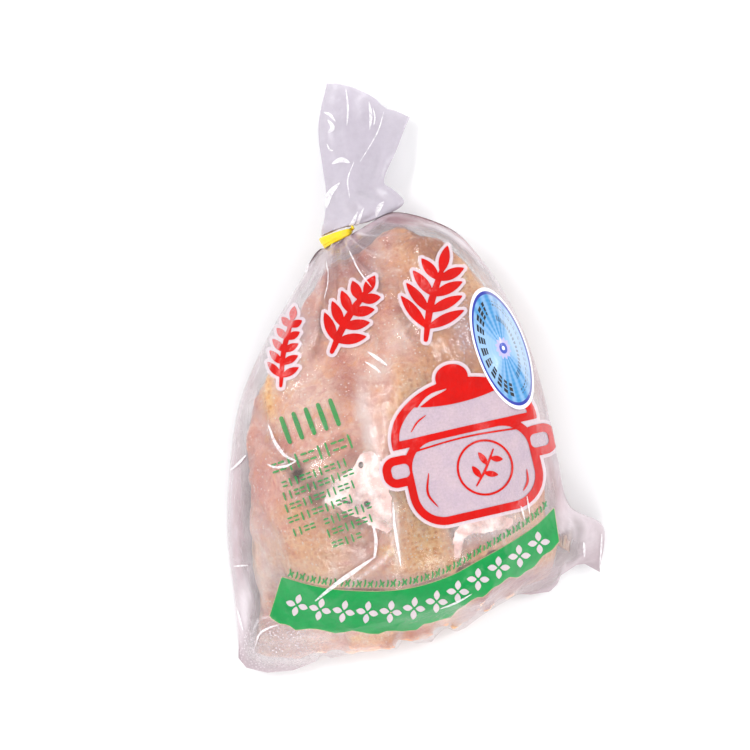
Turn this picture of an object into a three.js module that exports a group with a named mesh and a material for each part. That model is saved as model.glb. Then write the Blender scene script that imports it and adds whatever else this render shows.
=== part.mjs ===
// A small raw whole chicken, dressed and frozen, in a tied bag of thin clear film.
//
// The bag lies on its back with the printed side up. It is one closed solid out to
// the film, and the bird shows in it as the lobes that the film is drawn over. The
// film's free margins, the ear at one bottom corner, the gathered neck and the loose
// tail beyond the neck are all part of that solid. A wound band closes the neck, and
// an oval paper label is stuck to the slope over one thigh.
//
// Units are millimetres. +Z is up, +Y runs along the bag towards its tied mouth, and
// the origin is at the middle of the bounding box's underside.

import * as THREE from 'three';

const { sin, cos, sqrt, min, max, abs, hypot, PI } = Math;

// ---------------------------------------------------------------- driving sizes

const FILM_GAP = 1.6; // between the bird and the outside of the bag
const MARGIN_THICKNESS = 1.4; // the two film layers and the air between them at a free edge
const BODY_STEPS = 4; // cross sections for each span between two key ribs of the body
const TAIL_STEPS = 3; // and of the tail
const COLUMNS = 44; // facets across each panel
const DRAPE_PASSES = 380; // relaxation steps that pull a panel tight
const SAG = 0.042; // how far the upper panel sinks in each step, so that it clings to the bird
const SKY = 200; // a height above everything
const STEP = 1; // over which a slope of the film is taken

// The bird's own frame: its middle in the bag, and how far its keel turns from +Y.
const BIRD = { x: -10, y: -3, turn: THREE.MathUtils.degToRad(12) };

// The forms of the bird that push the film out. Each is an ellipsoid: its middle is
// `along` the keel towards the tail, `across` to the bag's right and `up`, `size` holds
// its half lengths the same way, and `turn` is its own heading from the keel, in degrees.
const LOBES = [
  { name: 'carcass', along: 0, across: 0, up: 27, size: [66, 46, 29], turn: 0 },
  { name: 'left breast', along: -12, across: -21, up: 39, size: [44, 27, 27], turn: 4 },
  { name: 'right breast', along: -14, across: 20, up: 39, size: [44, 26, 27], turn: -4 },
  { name: 'keel', along: -10, across: 0, up: 50, size: [46, 7, 18], turn: 0 },
  { name: 'left thigh', along: 26, across: -33, up: 29, size: [34, 19, 24], turn: 18 },
  { name: 'right thigh', along: 30, across: 30, up: 34, size: [36, 21, 28], turn: -14 },
  { name: 'left drumstick', along: 46, across: -24, up: 23, size: [28, 13, 15], turn: 26 },
  { name: 'right drumstick', along: 55, across: 15, up: 31, size: [27, 15, 19], turn: -22 },
  { name: 'left wing', along: -34, across: -45, up: 22, size: [29, 12, 17], turn: -6 },
  { name: 'right wing', along: -30, across: 42, up: 22, size: [25, 11, 17], turn: 8 },
  { name: 'left wing tip', along: -58, across: -43, up: 14, size: [17, 13, 12], turn: -30 },
  { name: 'right wing tip', along: -49, across: 32, up: 14, size: [15, 13, 12], turn: 24 },
  { name: 'neck skin', along: -60, across: -8, up: 17, size: [15, 24, 15], turn: 0 },
  { name: 'left shoulder', along: -71, across: -41, up: 10, size: [9, 18, 10], turn: 10 },
  { name: 'neck end', along: -67.5, across: -12, up: 10, size: [10, 23, 9], turn: 0 },
  { name: 'neck bone', along: -67, across: 7, up: 9, size: [6.5, 7.5, 8], turn: 0 },
  { name: 'right shoulder', along: -60, across: 22, up: 10, size: [10, 13, 9], turn: -12 },
  { name: 'right elbow', along: -47, across: 36, up: 12, size: [9, 13, 10], turn: -20 },
];

// The neck where the band holds it: a short oval tube, turned by `tilt` from the X axis.
const NECK = { x: -13.5, y: 73.9, height: 20, halfWidth: 5.1, halfHeight: 4.9, length: 5, tilt: 10.6 };

// The key ribs of the bag, from its sealed bottom to its open mouth. Each spans the bag
// from its left edge to its right edge, both given as [x, y, z]. `arch` bows the rib
// forwards in its middle, and `half` is half of the tail's thickness there.
const BODY_RIBS = [
  { name: 'bottom seal', left: [-82.6, -65.9, 6], right: [52.1, -65.2, 4], arch: 0 },
  { name: 'ear', left: [-81.2, -60, 6], right: [57, -49.4, 5], arch: -6 },
  { name: 'ear root', left: [-79, -44, 6], right: [46.3, -38.5, 14], arch: -2 },
  { name: 'wings', left: [-76.5, -22, 7], right: [45.6, -20, 19], arch: 0 },
  { name: 'breast', left: [-70, 2, 8], right: [45.8, 2, 21], arch: 0 },
  { name: 'waist', left: [-61.8, 23, 9], right: [44.4, 22, 22], arch: 0 },
  { name: 'thighs', left: [-50.5, 39.5, 10], right: [41, 38, 23], arch: 0 },
  { name: 'drumsticks', left: [-38, 53.5, 12], right: [35, 54, 24], arch: 0 },
  { name: 'hocks', left: [-29, 62.8, 14], right: [27, 67, 24], arch: 0 },
  { name: 'gather', left: [-23, 69.5, 17], right: [9, 77.7, 22.5], arch: -3 },
];
// The sealed bottom edge dips round the lumps inside it. Each pair is a share of its
// length and how far forwards of a straight line it runs there.
const BOTTOM_EDGE = [
  [0, 0], [0.015, -4.1], [0.067, -7.6], [0.136, -8.9], [0.202, -7.6], [0.219, -6], [0.243, -7.7],
  [0.349, -8.7], [0.423, -10.1], [0.447, -6.8], [0.473, -9.8], [0.516, -10.5], [0.544, -7.8],
  [0.563, -6.8], [0.586, -9], [0.614, -8.4], [0.654, -5.9], [0.713, -3.2], [0.775, -0.9],
  [0.803, -2.1], [0.857, -2.7], [0.883, -0.5], [0.896, 2.1], [0.944, 4.5], [0.966, 4.2], [1, 0],
];
const TAIL_RIBS = [
  { name: 'above the band', left: [-17.9, 78.4, 19.5], right: [-3, 78, 19.5], arch: 0, half: 3.4 },
  { name: 'side flap', left: [-16.8, 80.6, 18.5], right: [12.7, 80.6, 18.5], arch: 0.4, half: 2.2 },
  { name: 'flap top', left: [-15.4, 84.4, 17.5], right: [9.8, 86.3, 17.5], arch: 0, half: 1.6 },
  { name: 'tail waist', left: [-13.9, 89.5, 16], right: [7.4, 89.2, 16], arch: 0, half: 1.2 },
  { name: 'tail', left: [-12.9, 100, 12.5], right: [14.6, 100.3, 12.5], arch: 0.5, half: 0.9 },
  { name: 'flare', left: [-11.2, 114.5, 9], right: [19, 106.9, 9], arch: 1.8, half: 0.8 },
  { name: 'mouth', left: [-4.6, 129.8, 6.5], right: [22, 111, 6.5], arch: 1.5, half: 0.7 },
];

const FOLDS = {
  pleats: 7, // across the upper panel where the neck gathers it
  pleatDepth: 1.7,
  pleatReach: 2.6, // key ribs below the neck that the folds still show on
  tailWaves: 2, // soft folds across the loose tail
  tailDepth: 3.2,
};

const BAND = { width: 4, thickness: 1, clearance: 0.35, strands: 3, groove: 0.35, facets: 40 };

// The label is an oval of paper, 44 by 28 mm. It wraps over the side of the right thigh,
// so its width covers much less of the plan.
const LABEL = {
  length: 44,
  widthInPlan: 18.6,
  thickness: 0.35,
  lift: 0.5, // above the film
  middle: [33.4, 22],
  heading: THREE.MathUtils.degToRad(6.7), // of its long axis, from +Y towards -X
  rings: 6,
  sides: 36,
};

// ---------------------------------------------------------------- the bird's height


// A point of the plan in a lobe's own axes, as shares of its half lengths.
function inLobe(lobe, x, y) {
  const toKeel = [
    (x - BIRD.x) * sin(BIRD.turn) + (y - BIRD.y) * cos(BIRD.turn) - lobe.along,
    (x - BIRD.x) * cos(BIRD.turn) - (y - BIRD.y) * sin(BIRD.turn) - lobe.across,
  ];
  const turn = THREE.MathUtils.degToRad(lobe.turn);
  const along = toKeel[0] * cos(turn) + toKeel[1] * sin(turn);
  const across = toKeel[1] * cos(turn) - toKeel[0] * sin(turn);
  return hypot(along / lobe.size[0], across / lobe.size[1]);
}

// How far up (side 1) or down (side -1) the bird reaches over a point of the plan.
function birdReach(x, y, side) {
  const reaches = LOBES.map((lobe) => {
    const share = inLobe(lobe, x, y);
    return share < 1 ? side * lobe.up + lobe.size[2] * sqrt(1 - share * share) : -Infinity;
  });
  return side * max(...reaches);
}

// ---------------------------------------------------------------- ribs

// The ribs at the two ends of the neck.
const neckTilt = THREE.MathUtils.degToRad(NECK.tilt);
function neckRib(side) {
  const at = [NECK.x - side * (NECK.length / 2) * sin(neckTilt), NECK.y + side * (NECK.length / 2) * cos(neckTilt)];
  const [dx, dy] = [NECK.halfWidth * cos(neckTilt), NECK.halfWidth * sin(neckTilt)];
  return {
    name: 'neck',
    left: [at[0] - dx, at[1] - dy, NECK.height],
    right: [at[0] + dx, at[1] + dy, NECK.height],
    arch: 0,
    half: NECK.halfHeight,
  };
}

// A smooth line through one of the key ribs' values, at rib number `at`.
function smoothly(points) {
  const curve = new THREE.CatmullRomCurve3(points, false, 'centripetal');
  return (at) => curve.getPoint(at / (points.length - 1));
}

function makeRibs(keys, perSpan) {
  const left = smoothly(keys.map((key) => new THREE.Vector3(...key.left)));
  const right = smoothly(keys.map((key) => new THREE.Vector3(...key.right)));
  const shape = smoothly(keys.map((key, i) => new THREE.Vector3(key.arch, key.half ?? 0, i)));
  return Array.from({ length: (keys.length - 1) * perSpan + 1 }, (_, i) => {
    const at = i / perSpan;
    return { at, left: left(at), right: right(at), arch: shape(at).x, half: shape(at).y };
  });
}

// Columns stand closer together towards the edges, where the bag is steep. `shareOf` runs
// from 0 at a rib's left edge to 1 at its right edge, and `roundOf` is the height of a
// half circle over it.
const shareOf = (column) => (1 - cos((PI * column) / COLUMNS)) / 2;
const roundOf = (column) => sin((PI * column) / COLUMNS);

// The value at a share of a list of [share, value] pairs, on straight lines between them.
function between(pairs, share) {
  const next = max(1, pairs.findIndex(([at]) => at >= share));
  const [[from, a], [to, b]] = [pairs[next - 1], pairs[next]];
  return THREE.MathUtils.lerp(a, b, (share - from) / (to - from));
}

// The points of a rib. Where the rib is near the first one, it takes up part of `edge`.
function ribPoints(rib, edge = []) {
  const across = rib.right.clone().sub(rib.left).setZ(0).normalize();
  const forwards = new THREE.Vector3(-across.y, across.x, 0);
  const fade = edge.length ? max(0, 1 - rib.at) ** 2 : 0;
  return Array.from({ length: COLUMNS + 1 }, (_, column) => {
    const share = min(1, shareOf(column));
    const bow = rib.arch * sin(PI * share) + (fade && fade * between(edge, share));
    return rib.left.clone().lerp(rib.right, share).addScaledVector(forwards, bow);
  });
}

// ---------------------------------------------------------------- the two body panels

// Pulls a panel tight between its four edges and over the bird, as film is drawn.
// The panel is a grid of points; `side` is 1 for the upper panel and -1 for the lower.
function drapePanel(ribs, side) {
  const panel = ribs.map((rib) => ribPoints(rib, BOTTOM_EDGE));
  const reach = panel.map((row) => row.map((p) => birdReach(p.x, p.y, side) + side * FILM_GAP));
  const last = ribs.length - 1;
  panel.forEach((row) => row.forEach((p) => {
    p.z = max(0, p.z + (side * MARGIN_THICKNESS) / 2);
  }));
  panel[last].forEach((p, column) => {
    p.z = NECK.height + side * max(MARGIN_THICKNESS / 2, NECK.halfHeight * roundOf(column));
  });
  const clear = (z, r, c) => (side > 0 ? max(z, reach[r][c]) : max(0, min(z, reach[r][c])));
  for (let pass = 0; pass < DRAPE_PASSES; pass++) {
    for (let r = 1; r < last; r++) {
      for (let c = 1; c < COLUMNS; c++) {
        const around = panel[r - 1][c].z + panel[r + 1][c].z + panel[r][c - 1].z + panel[r][c + 1].z;
        panel[r][c].z = clear(around / 4 - max(0, side) * SAG, r, c);
      }
    }
  }
  return panel;
}

// Folds that run out of the neck into the upper panel and die away.
function pleatPanel(panel, ribs) {
  const neckAt = ribs.at(-1).at;
  panel.forEach((row, r) => row.forEach((p, column) => {
    const near = max(0, 1 - (neckAt - ribs[r].at) / FOLDS.pleatReach);
    const depth = FOLDS.pleatDepth * near * (1 - near ** 6) * roundOf(column);
    p.z += depth * cos((2 * PI * FOLDS.pleats * column) / COLUMNS);
  }));
}

// Keeps the film layers apart, so that the margins have a thickness of their own.
function partPanels(upper, lower) {
  upper.forEach((row, r) => row.forEach((p, column) => {
    p.z = max(p.z, lower[r][column].z + MARGIN_THICKNESS);
  }));
}

// ---------------------------------------------------------------- the loose tail

// The collapsed tube of film beyond the band, which lies in soft folds.
function tailPanel(ribs, side) {
  return ribs.map((rib) => ribPoints(rib).map((p, column) => {
    const loose = min(1, rib.at / 2.5);
    const drift = (0.7 * rib.at) / TAIL_RIBS.length;
    const fold = sin(2 * PI * (FOLDS.tailWaves * shareOf(column) + drift)) * roundOf(column);
    const half = max(MARGIN_THICKNESS / 2, rib.half * roundOf(column));
    p.z += loose * FOLDS.tailDepth * fold + side * half;
    return p;
  }));
}

// ---------------------------------------------------------------- solids

// A closed geometry between two panels of the same grid: both faces, the long edges and
// the two ends.
function shellBetween(upper, lower) {
  const rows = upper.length;
  const columns = upper[0].length;
  const position = [];
  for (const panel of [upper, lower]) {
    for (const row of panel) for (const p of row) position.push(p.x, p.y, p.z);
  }
  const at = (layer, r, c) => (layer * rows + r) * columns + c;
  const index = [];
  const quad = (a, b, c, d) => index.push(a, b, c, a, c, d);
  for (let r = 0; r + 1 < rows; r++) {
    for (let c = 0; c + 1 < columns; c++) {
      quad(at(0, r, c), at(0, r, c + 1), at(0, r + 1, c + 1), at(0, r + 1, c));
      quad(at(1, r, c), at(1, r + 1, c), at(1, r + 1, c + 1), at(1, r, c + 1));
    }
    quad(at(0, r + 1, 0), at(1, r + 1, 0), at(1, r, 0), at(0, r, 0));
    quad(at(0, r, columns - 1), at(1, r, columns - 1), at(1, r + 1, columns - 1), at(0, r + 1, columns - 1));
  }
  for (let c = 0; c + 1 < columns; c++) {
    quad(at(0, 0, c + 1), at(0, 0, c), at(1, 0, c), at(1, 0, c + 1));
    quad(at(0, rows - 1, c), at(0, rows - 1, c + 1), at(1, rows - 1, c + 1), at(1, rows - 1, c));
  }
  const geometry = new THREE.BufferGeometry();
  geometry.setAttribute('position', new THREE.Float32BufferAttribute(position, 3));
  geometry.setIndex(index);
  geometry.computeVertexNormals();
  return geometry;
}

function makeBag() {
  const ribs = makeRibs([...BODY_RIBS, neckRib(-1)], BODY_STEPS);
  const tailRibs = makeRibs([neckRib(1), ...TAIL_RIBS], TAIL_STEPS);
  const upper = drapePanel(ribs, 1);
  const lower = drapePanel(ribs, -1);
  pleatPanel(upper, ribs);
  partPanels(upper, lower);
  const geometry = shellBetween(
    [...upper, ...tailPanel(tailRibs, 1)],
    [...lower, ...tailPanel(tailRibs, -1)],
  );
  const film = new THREE.MeshStandardMaterial({ color: 0xe2b8a6, roughness: 0.25, metalness: 0 });
  const mesh = new THREE.Mesh(geometry, film);
  mesh.name = 'bag';
  return mesh;
}

// The band is a few strands of tape side by side, drawn tight to the neck's oval.
function makeBand() {
  const outline = [];
  const steps = BAND.strands * 4;
  for (let i = 0; i <= steps; i++) {
    const bulge = BAND.groove * abs(sin((PI * BAND.strands * i) / steps));
    const wall = BAND.clearance + BAND.thickness - BAND.groove + bulge;
    outline.push(new THREE.Vector2(1 + wall / NECK.halfWidth, (i / steps - 0.5) * BAND.width));
  }
  const inner = 1 + BAND.clearance / NECK.halfWidth;
  outline.push(new THREE.Vector2(inner, BAND.width / 2));
  outline.push(new THREE.Vector2(inner, -BAND.width / 2));
  outline.push(outline[0].clone());
  const ring = new THREE.LatheGeometry(outline, BAND.facets);
  ring.scale(NECK.halfWidth, 1, NECK.halfHeight);
  ring.rotateZ(neckTilt);
  ring.translate(NECK.x, NECK.y, NECK.height);
  const yellow = new THREE.MeshStandardMaterial({ color: 0xf6dc2c, roughness: 0.45, metalness: 0 });
  const mesh = new THREE.Mesh(ring, yellow);
  mesh.name = 'neck_band';
  return mesh;
}

// The label starts as a ball of few rings, whose upper half becomes its printed face and
// whose lower half its back. Both then follow the bag's upper panel.
function makeLabel(bag) {
  const raycaster = new THREE.Raycaster();
  const down = new THREE.Vector3(0, 0, -1);
  const filmHeight = (x, y) => {
    raycaster.set(new THREE.Vector3(x, y, SKY), down);
    return raycaster.intersectObject(bag)[0].point.z;
  };
  const disc = new THREE.SphereGeometry(1, LABEL.sides, LABEL.rings);
  const point = disc.getAttribute('position');
  for (let i = 0; i < point.count; i++) {
    const polar = Math.acos(THREE.MathUtils.clamp(point.getY(i), -1, 1)) / (PI / 2);
    const share = 1 - abs(polar - 1);
    const angle = Math.atan2(-point.getZ(i), point.getX(i));
    const along = (LABEL.length / 2) * share * sin(angle);
    const across = (LABEL.widthInPlan / 2) * share * cos(angle);
    const x = LABEL.middle[0] + across * cos(LABEL.heading) - along * sin(LABEL.heading);
    const y = LABEL.middle[1] + across * sin(LABEL.heading) + along * cos(LABEL.heading);
    const slopeX = (filmHeight(x + STEP, y) - filmHeight(x - STEP, y)) / (2 * STEP);
    const slopeY = (filmHeight(x, y + STEP) - filmHeight(x, y - STEP)) / (2 * STEP);
    const outwards = new THREE.Vector3(-slopeX, -slopeY, 1).normalize();
    const face = (LABEL.thickness / 2) * Math.sign(Math.round((1 - polar) * LABEL.rings));
    const onFilm = new THREE.Vector3(x, y, filmHeight(x, y));
    onFilm.addScaledVector(outwards, LABEL.lift + LABEL.thickness / 2 + face);
    point.setXYZ(i, onFilm.x, onFilm.y, onFilm.z);
  }
  disc.computeVertexNormals();
  const paper = new THREE.MeshStandardMaterial({ color: 0x9fd0ea, roughness: 0.4, metalness: 0 });
  const mesh = new THREE.Mesh(disc, paper);
  mesh.name = 'label';
  return mesh;
}

// ---------------------------------------------------------------- the whole part

const group = new THREE.Group();
group.name = 'bagged_chicken';
const bag = makeBag();
group.add(bag, makeBand(), makeLabel(bag));

// Moves every part so that the origin is at the middle of the underside.
const box = new THREE.Box3().setFromObject(group);
const middle = box.getCenter(new THREE.Vector3());
for (const mesh of group.children) mesh.geometry.translate(-middle.x, -middle.y, -box.min.z);

export default group;
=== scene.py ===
"""A small raw whole chicken, dressed and frozen, in a tied bag of thin clear film.

The add-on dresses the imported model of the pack. It puts the bird inside the film, the
printed art on the film, the wound tape on the neck and the oval label on one side. All
sizes in the code are in millimetres until a mesh is made.
"""

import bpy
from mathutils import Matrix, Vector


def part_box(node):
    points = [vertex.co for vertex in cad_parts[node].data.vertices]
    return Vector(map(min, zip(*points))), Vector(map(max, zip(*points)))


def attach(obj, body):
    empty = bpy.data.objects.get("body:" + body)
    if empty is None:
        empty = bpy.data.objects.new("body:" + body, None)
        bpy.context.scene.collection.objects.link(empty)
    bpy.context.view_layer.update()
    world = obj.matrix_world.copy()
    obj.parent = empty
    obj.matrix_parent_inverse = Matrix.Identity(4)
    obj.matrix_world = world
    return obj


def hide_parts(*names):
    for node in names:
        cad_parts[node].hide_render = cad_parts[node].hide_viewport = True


bl_info = {
    "name": "Bagged Raw Chicken",
    "version": (1, 0, 0),
    "blender": (4, 5, 0),
    "location": "View3D > Sidebar > Chicken",
    "description": "Builds a small raw chicken in a tied clear bag on its packed frame",
    "category": "Add Mesh",
}

import math
from functools import partial

import bmesh
import bpy
import numpy as np
from bpy.props import FloatProperty, FloatVectorProperty, IntProperty, PointerProperty
from mathutils import Vector, noise
from mathutils.bvhtree import BVHTree

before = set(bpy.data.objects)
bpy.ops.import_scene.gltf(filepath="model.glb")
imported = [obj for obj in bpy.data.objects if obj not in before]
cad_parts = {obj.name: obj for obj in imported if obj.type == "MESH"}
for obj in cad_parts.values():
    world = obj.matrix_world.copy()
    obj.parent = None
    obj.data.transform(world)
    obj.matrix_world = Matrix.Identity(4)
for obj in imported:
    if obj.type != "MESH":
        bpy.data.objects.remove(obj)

MM = 0.001


# ------------------------------------------------------------------ the pack's layout

# The neck under the band: a short oval tube, turned by `tilt` from the X axis.
NECK = {
    "x": -13.5, "y": 73.9, "z": 20.0, "half_width": 5.1, "half_height": 4.9, "length": 5.0, "tilt": 10.6,
}

# The frame's origin is under the middle of the pack, and the layout's is near the middle
# of the bird. The band shows how far apart they are.
band_low, band_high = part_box("neck_band")
SHIFT = np.array([
    (band_low.x + band_high.x) / 2 / MM - NECK["x"],
    (band_low.y + band_high.y) / 2 / MM - NECK["y"],
    0.0,
])

# Key ribs of the bag: left edge, right edge, and how far the middle bows forwards.
BODY_RIBS = [
    ((-82.6, -65.9, 6), (52.1, -65.2, 4), 0),
    ((-81.2, -60, 6), (57, -49.4, 5), -6),
    ((-79, -44, 6), (46.3, -38.5, 14), -2),
    ((-76.5, -22, 7), (45.6, -20, 19), 0),
    ((-70, 2, 8), (45.8, 2, 21), 0),
    ((-61.8, 23, 9), (44.4, 22, 22), 0),
    ((-50.5, 39.5, 10), (41, 38, 23), 0),
    ((-38, 53.5, 12), (35, 54, 24), 0),
    ((-29, 62.8, 14), (27, 67, 24), 0),
    ((-23, 69.5, 17), (9, 77.7, 22.5), -3),
    ((-20, 71.2, 18.5), (2.6, 77.2, 21.5), -1),
]
# The bag's bottom edge, as shares of its length and how far it stands forwards there.
BOTTOM_EDGE = [
    (0, 0), (0.015, -4.1), (0.067, -7.6), (0.136, -8.9), (0.202, -7.6), (0.219, -6), (0.243, -7.7),
    (0.349, -8.7), (0.423, -10.1), (0.447, -6.8), (0.473, -9.8), (0.516, -10.5), (0.544, -7.8),
    (0.563, -6.8), (0.586, -9), (0.614, -8.4), (0.654, -5.9), (0.713, -3.2), (0.775, -0.9),
    (0.803, -2.1), (0.857, -2.7), (0.883, -0.5), (0.896, 2.1), (0.944, 4.5), (0.966, 4.2), (1, 0),
]
TAIL_RIBS = [
    ((-17.9, 78.4, 19.5), (-1.5, 76.6, 20), 0, 3.4),
    ((-16.8, 80.6, 18.5), (12.7, 80.6, 18.5), 0.4, 2.2),
    ((-15.4, 84.4, 17.5), (9.8, 86.3, 17.5), 0, 1.6),
    ((-13.9, 89.5, 16), (7.4, 89.2, 16), 0, 1.2),
    ((-12.9, 100, 12.5), (14.6, 100.3, 12.5), 0.5, 0.9),
    ((-11.2, 114.5, 9), (19, 106.9, 9), 1.8, 0.8),
    ((-4.6, 129.8, 6.5), (22, 111, 6.5), 1.5, 0.7),
]

# The tail's mouth, as shares of its width and how far it stands forwards there.
TAIL_MOUTH = [
    (0, 0), (0.1, 0.9), (0.3, 1.0), (0.5, 0.6), (0.58, 0), (0.62, -1.3), (0.7, -2), (0.8, -1),
    (0.9, -0.4), (1, 0),
]

# The bird's own frame: its middle, and how far its keel turns from +Y.
BIRD_MIDDLE = (-10.0, -3.0)
BIRD_TURN = math.radians(12)

# Forms of the bird: along the keel towards the tail, across to the right, up; half
# lengths the same way; and the form's own heading from the keel in degrees.
LOBES = {
    "carcass": ((0, 0, 27), (65, 45, 26), 0),
    "left breast": ((-12, -21, 39), (43, 26, 26), 4),
    "right breast": ((-14, 20, 39), (43, 25, 26), -4),
    "keel": ((-10, 0, 50), (46, 5, 17), 0),
    "left thigh": ((26, -33, 29), (33, 18, 23), 18),
    "right thigh": ((30, 30, 34), (35, 20, 27), -14),
    "left drumstick": ((46, -24, 23), (27, 12, 14), 26),
    "right drumstick": ((55, 15, 31), (26, 14, 18), -22),
    "left wing": ((-34, -45, 22), (28, 11, 16), -6),
    "left forewing": ((-22, -50, 14), (24, 8, 9), 10),
    "right wing": ((-30, 42, 22), (24, 10, 16), 8),
    "left wing tip": ((-58, -43, 14), (16, 12, 11), -30),
    "right wing tip": ((-49, 32, 14), (14, 12, 11), 24),
    "neck skin": ((-60, -8, 17), (14, 23, 14), 0),
    "left shoulder": ((-71, -41, 10), (8, 17, 9), 10),
    "neck end": ((-67.5, -12, 10), (9, 22, 8), 0),
    "neck bone": ((-67, 7, 9), (5.5, 6.5, 7), 0),
    "right shoulder": ((-60, 22, 10), (9, 12, 8), -12),
    "right elbow": ((-47, 36, 12), (8, 12, 9), -20),
}

# The photographed view looks straight down from this height on the point `VIEW_OVER`,
# with +Y leaning to the left by VIEW_TURN. `VIEW_LEVEL` is the height of most of the
# pack's outline.
VIEW_HEIGHT = 912.0
VIEW_LEVEL = 12.0
VIEW_OVER = (-11.3, 22.9)
VIEW_TURN = math.radians(13)
PRINT_PITCH = 0.36  # the art is drawn on a grid of this many millimetres


# ------------------------------------------------------------------ small helpers

def rgb(code):
    """Linear colour of an sRGB hex code."""
    parts = [int(code[i:i + 2], 16) / 255 for i in (1, 3, 5)]
    return tuple(c / 12.92 if c <= 0.04045 else ((c + 0.055) / 1.055) ** 2.4 for c in parts)


def smooth_line(points, at):
    """Points at the numbers `at` along a centripetal curve through the given points."""
    p = np.asarray(points, float)
    at = np.asarray(at, float)
    first, last = 2 * p[0] - p[1], 2 * p[-1] - p[-2]
    p = np.vstack([first, p, last])
    i = np.clip(at.astype(int), 0, len(p) - 4)
    t = (at - i)[:, None]
    p0, p1, p2, p3 = p[i], p[i + 1], p[i + 2], p[i + 3]
    spans = ((p0, p1), (p1, p2), (p2, p3))
    g0, g1, g2 = (np.maximum(((b - a) ** 2).sum(1, keepdims=True) ** 0.25, 1e-4) for a, b in spans)
    m1 = ((p1 - p0) / g0 - (p2 - p0) / (g0 + g1) + (p2 - p1) / g1) * g1
    m2 = ((p2 - p1) / g1 - (p3 - p1) / (g1 + g2) + (p3 - p2) / g2) * g1
    return (
        (2 * t**3 - 3 * t**2 + 1) * p1 + (t**3 - 2 * t**2 + t) * m1
        + (3 * t**2 - 2 * t**3) * p2 + (t**3 - t**2) * m2
    )


def grain(points, scale, octaves=3, seed=0.0):
    """Smooth noise, about -1 to 1, whose features are `scale` mm across."""
    offset = Vector((seed * 17.3, seed * 5.1, seed * 9.7))
    return np.array([
        noise.fractal(Vector(p) / scale + offset, 1.0, 2.0, octaves, noise_basis="PERLIN_ORIGINAL")
        for p in points
    ])


def ridges(points, scale, octaves=2, seed=0.0):
    """Sharp ridge lines, 0 to 1, about `scale` mm apart."""
    return (1 - np.minimum(1, np.abs(grain(points, scale, octaves, seed)) * 2.6)) ** 2


def smoothstep(low, high, value):
    t = np.clip((value - low) / (high - low), 0, 1)
    return t * t * (3 - 2 * t)


def on_sheet(points):
    """Where points of the layout show on the print grid, as the pack lies in the view."""
    p = np.asarray(points, float)
    reach = (VIEW_HEIGHT - VIEW_LEVEL) / (VIEW_HEIGHT - p[:, 2])
    x = VIEW_OVER[0] + (p[:, 0] - VIEW_OVER[0]) * reach
    y = VIEW_OVER[1] + (p[:, 1] - VIEW_OVER[1]) * reach
    c, s = math.cos(VIEW_TURN), math.sin(VIEW_TURN)
    return np.stack([x * c - y * s, x * s + y * c], 1) / PRINT_PITCH


def outline(q, points):
    """Signed distance to a closed outline."""
    p = np.asarray(points, float)
    far = np.full(len(q), 1e9)
    inside = np.zeros(len(q), bool)
    for i in range(len(p)):
        a, b = p[i], p[(i + 1) % len(p)]
        d = b - a
        t = np.clip(((q - a) @ d) / max(d @ d, 1e-9), 0, 1)
        far = np.minimum(far, np.hypot(*(q - a - t[:, None] * d).T))
        crosses = (a[1] > q[:, 1]) != (b[1] > q[:, 1])
        level = a[0] + (q[:, 1] - a[1]) * d[0] / (d[1] if abs(d[1]) > 1e-9 else 1e-9)
        inside ^= crosses & (q[:, 0] < level)
    return np.where(inside, -far, far)


def patches(q, spots):
    """How far points of the print grid lie inside soft oval spots, 0 to 1. Each spot is
    its middle, its half width and half length, its turn in degrees and its strength."""
    total = np.zeros(len(q))
    for a, b, wide, long, turn, strength in spots:
        t = math.radians(turn)
        dx, dy = q[:, 0] - a, q[:, 1] - b
        u = (dx * math.cos(t) + dy * math.sin(t)) / wide
        v = (dy * math.cos(t) - dx * math.sin(t)) / long
        total = np.maximum(total, strength * np.exp(-((u * u + v * v) ** 1.5)))
    return total


def add_piece(name, points, faces, material, smooth=True):
    """A mesh object from layout points in millimetres."""
    mesh = bpy.data.meshes.new(name)
    mesh.from_pydata(((np.asarray(points) + SHIFT) * MM).tolist(), [], [tuple(f) for f in faces])
    mesh.validate()
    mesh.polygons.foreach_set("use_smooth", [smooth] * len(mesh.polygons))
    mesh.materials.append(material)
    obj = bpy.data.objects.new(name, mesh)
    bpy.context.scene.collection.objects.link(obj)
    return obj


def set_field(obj, name, values):
    """Stores a number for each point, for the material to read."""
    field = obj.data.attributes.new(name, "FLOAT", "POINT")
    field.data.foreach_set("value", np.asarray(values, np.float32))


def layout_points(obj):
    """An object's points in the layout, in millimetres."""
    co = np.empty(len(obj.data.vertices) * 3)
    obj.data.vertices.foreach_get("co", co)
    return co.reshape(-1, 3) / MM - SHIFT


def surface(obj):
    """An object's surface in the layout, to cast rays at."""
    points = [Vector(p) for p in layout_points(obj)]
    return BVHTree.FromPolygons(points, [tuple(p.vertices) for p in obj.data.polygons])


def grid_faces(rows, columns, start=0, flip=False):
    """Quads of a grid of points."""
    r, c = np.meshgrid(np.arange(rows - 1), np.arange(columns - 1), indexing="ij")
    a = (start + r * columns + c).ravel()
    quads = np.stack([a, a + 1, a + 1 + columns, a + columns], 1)
    return quads[:, ::-1] if flip else quads


# ------------------------------------------------------------------ materials

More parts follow.
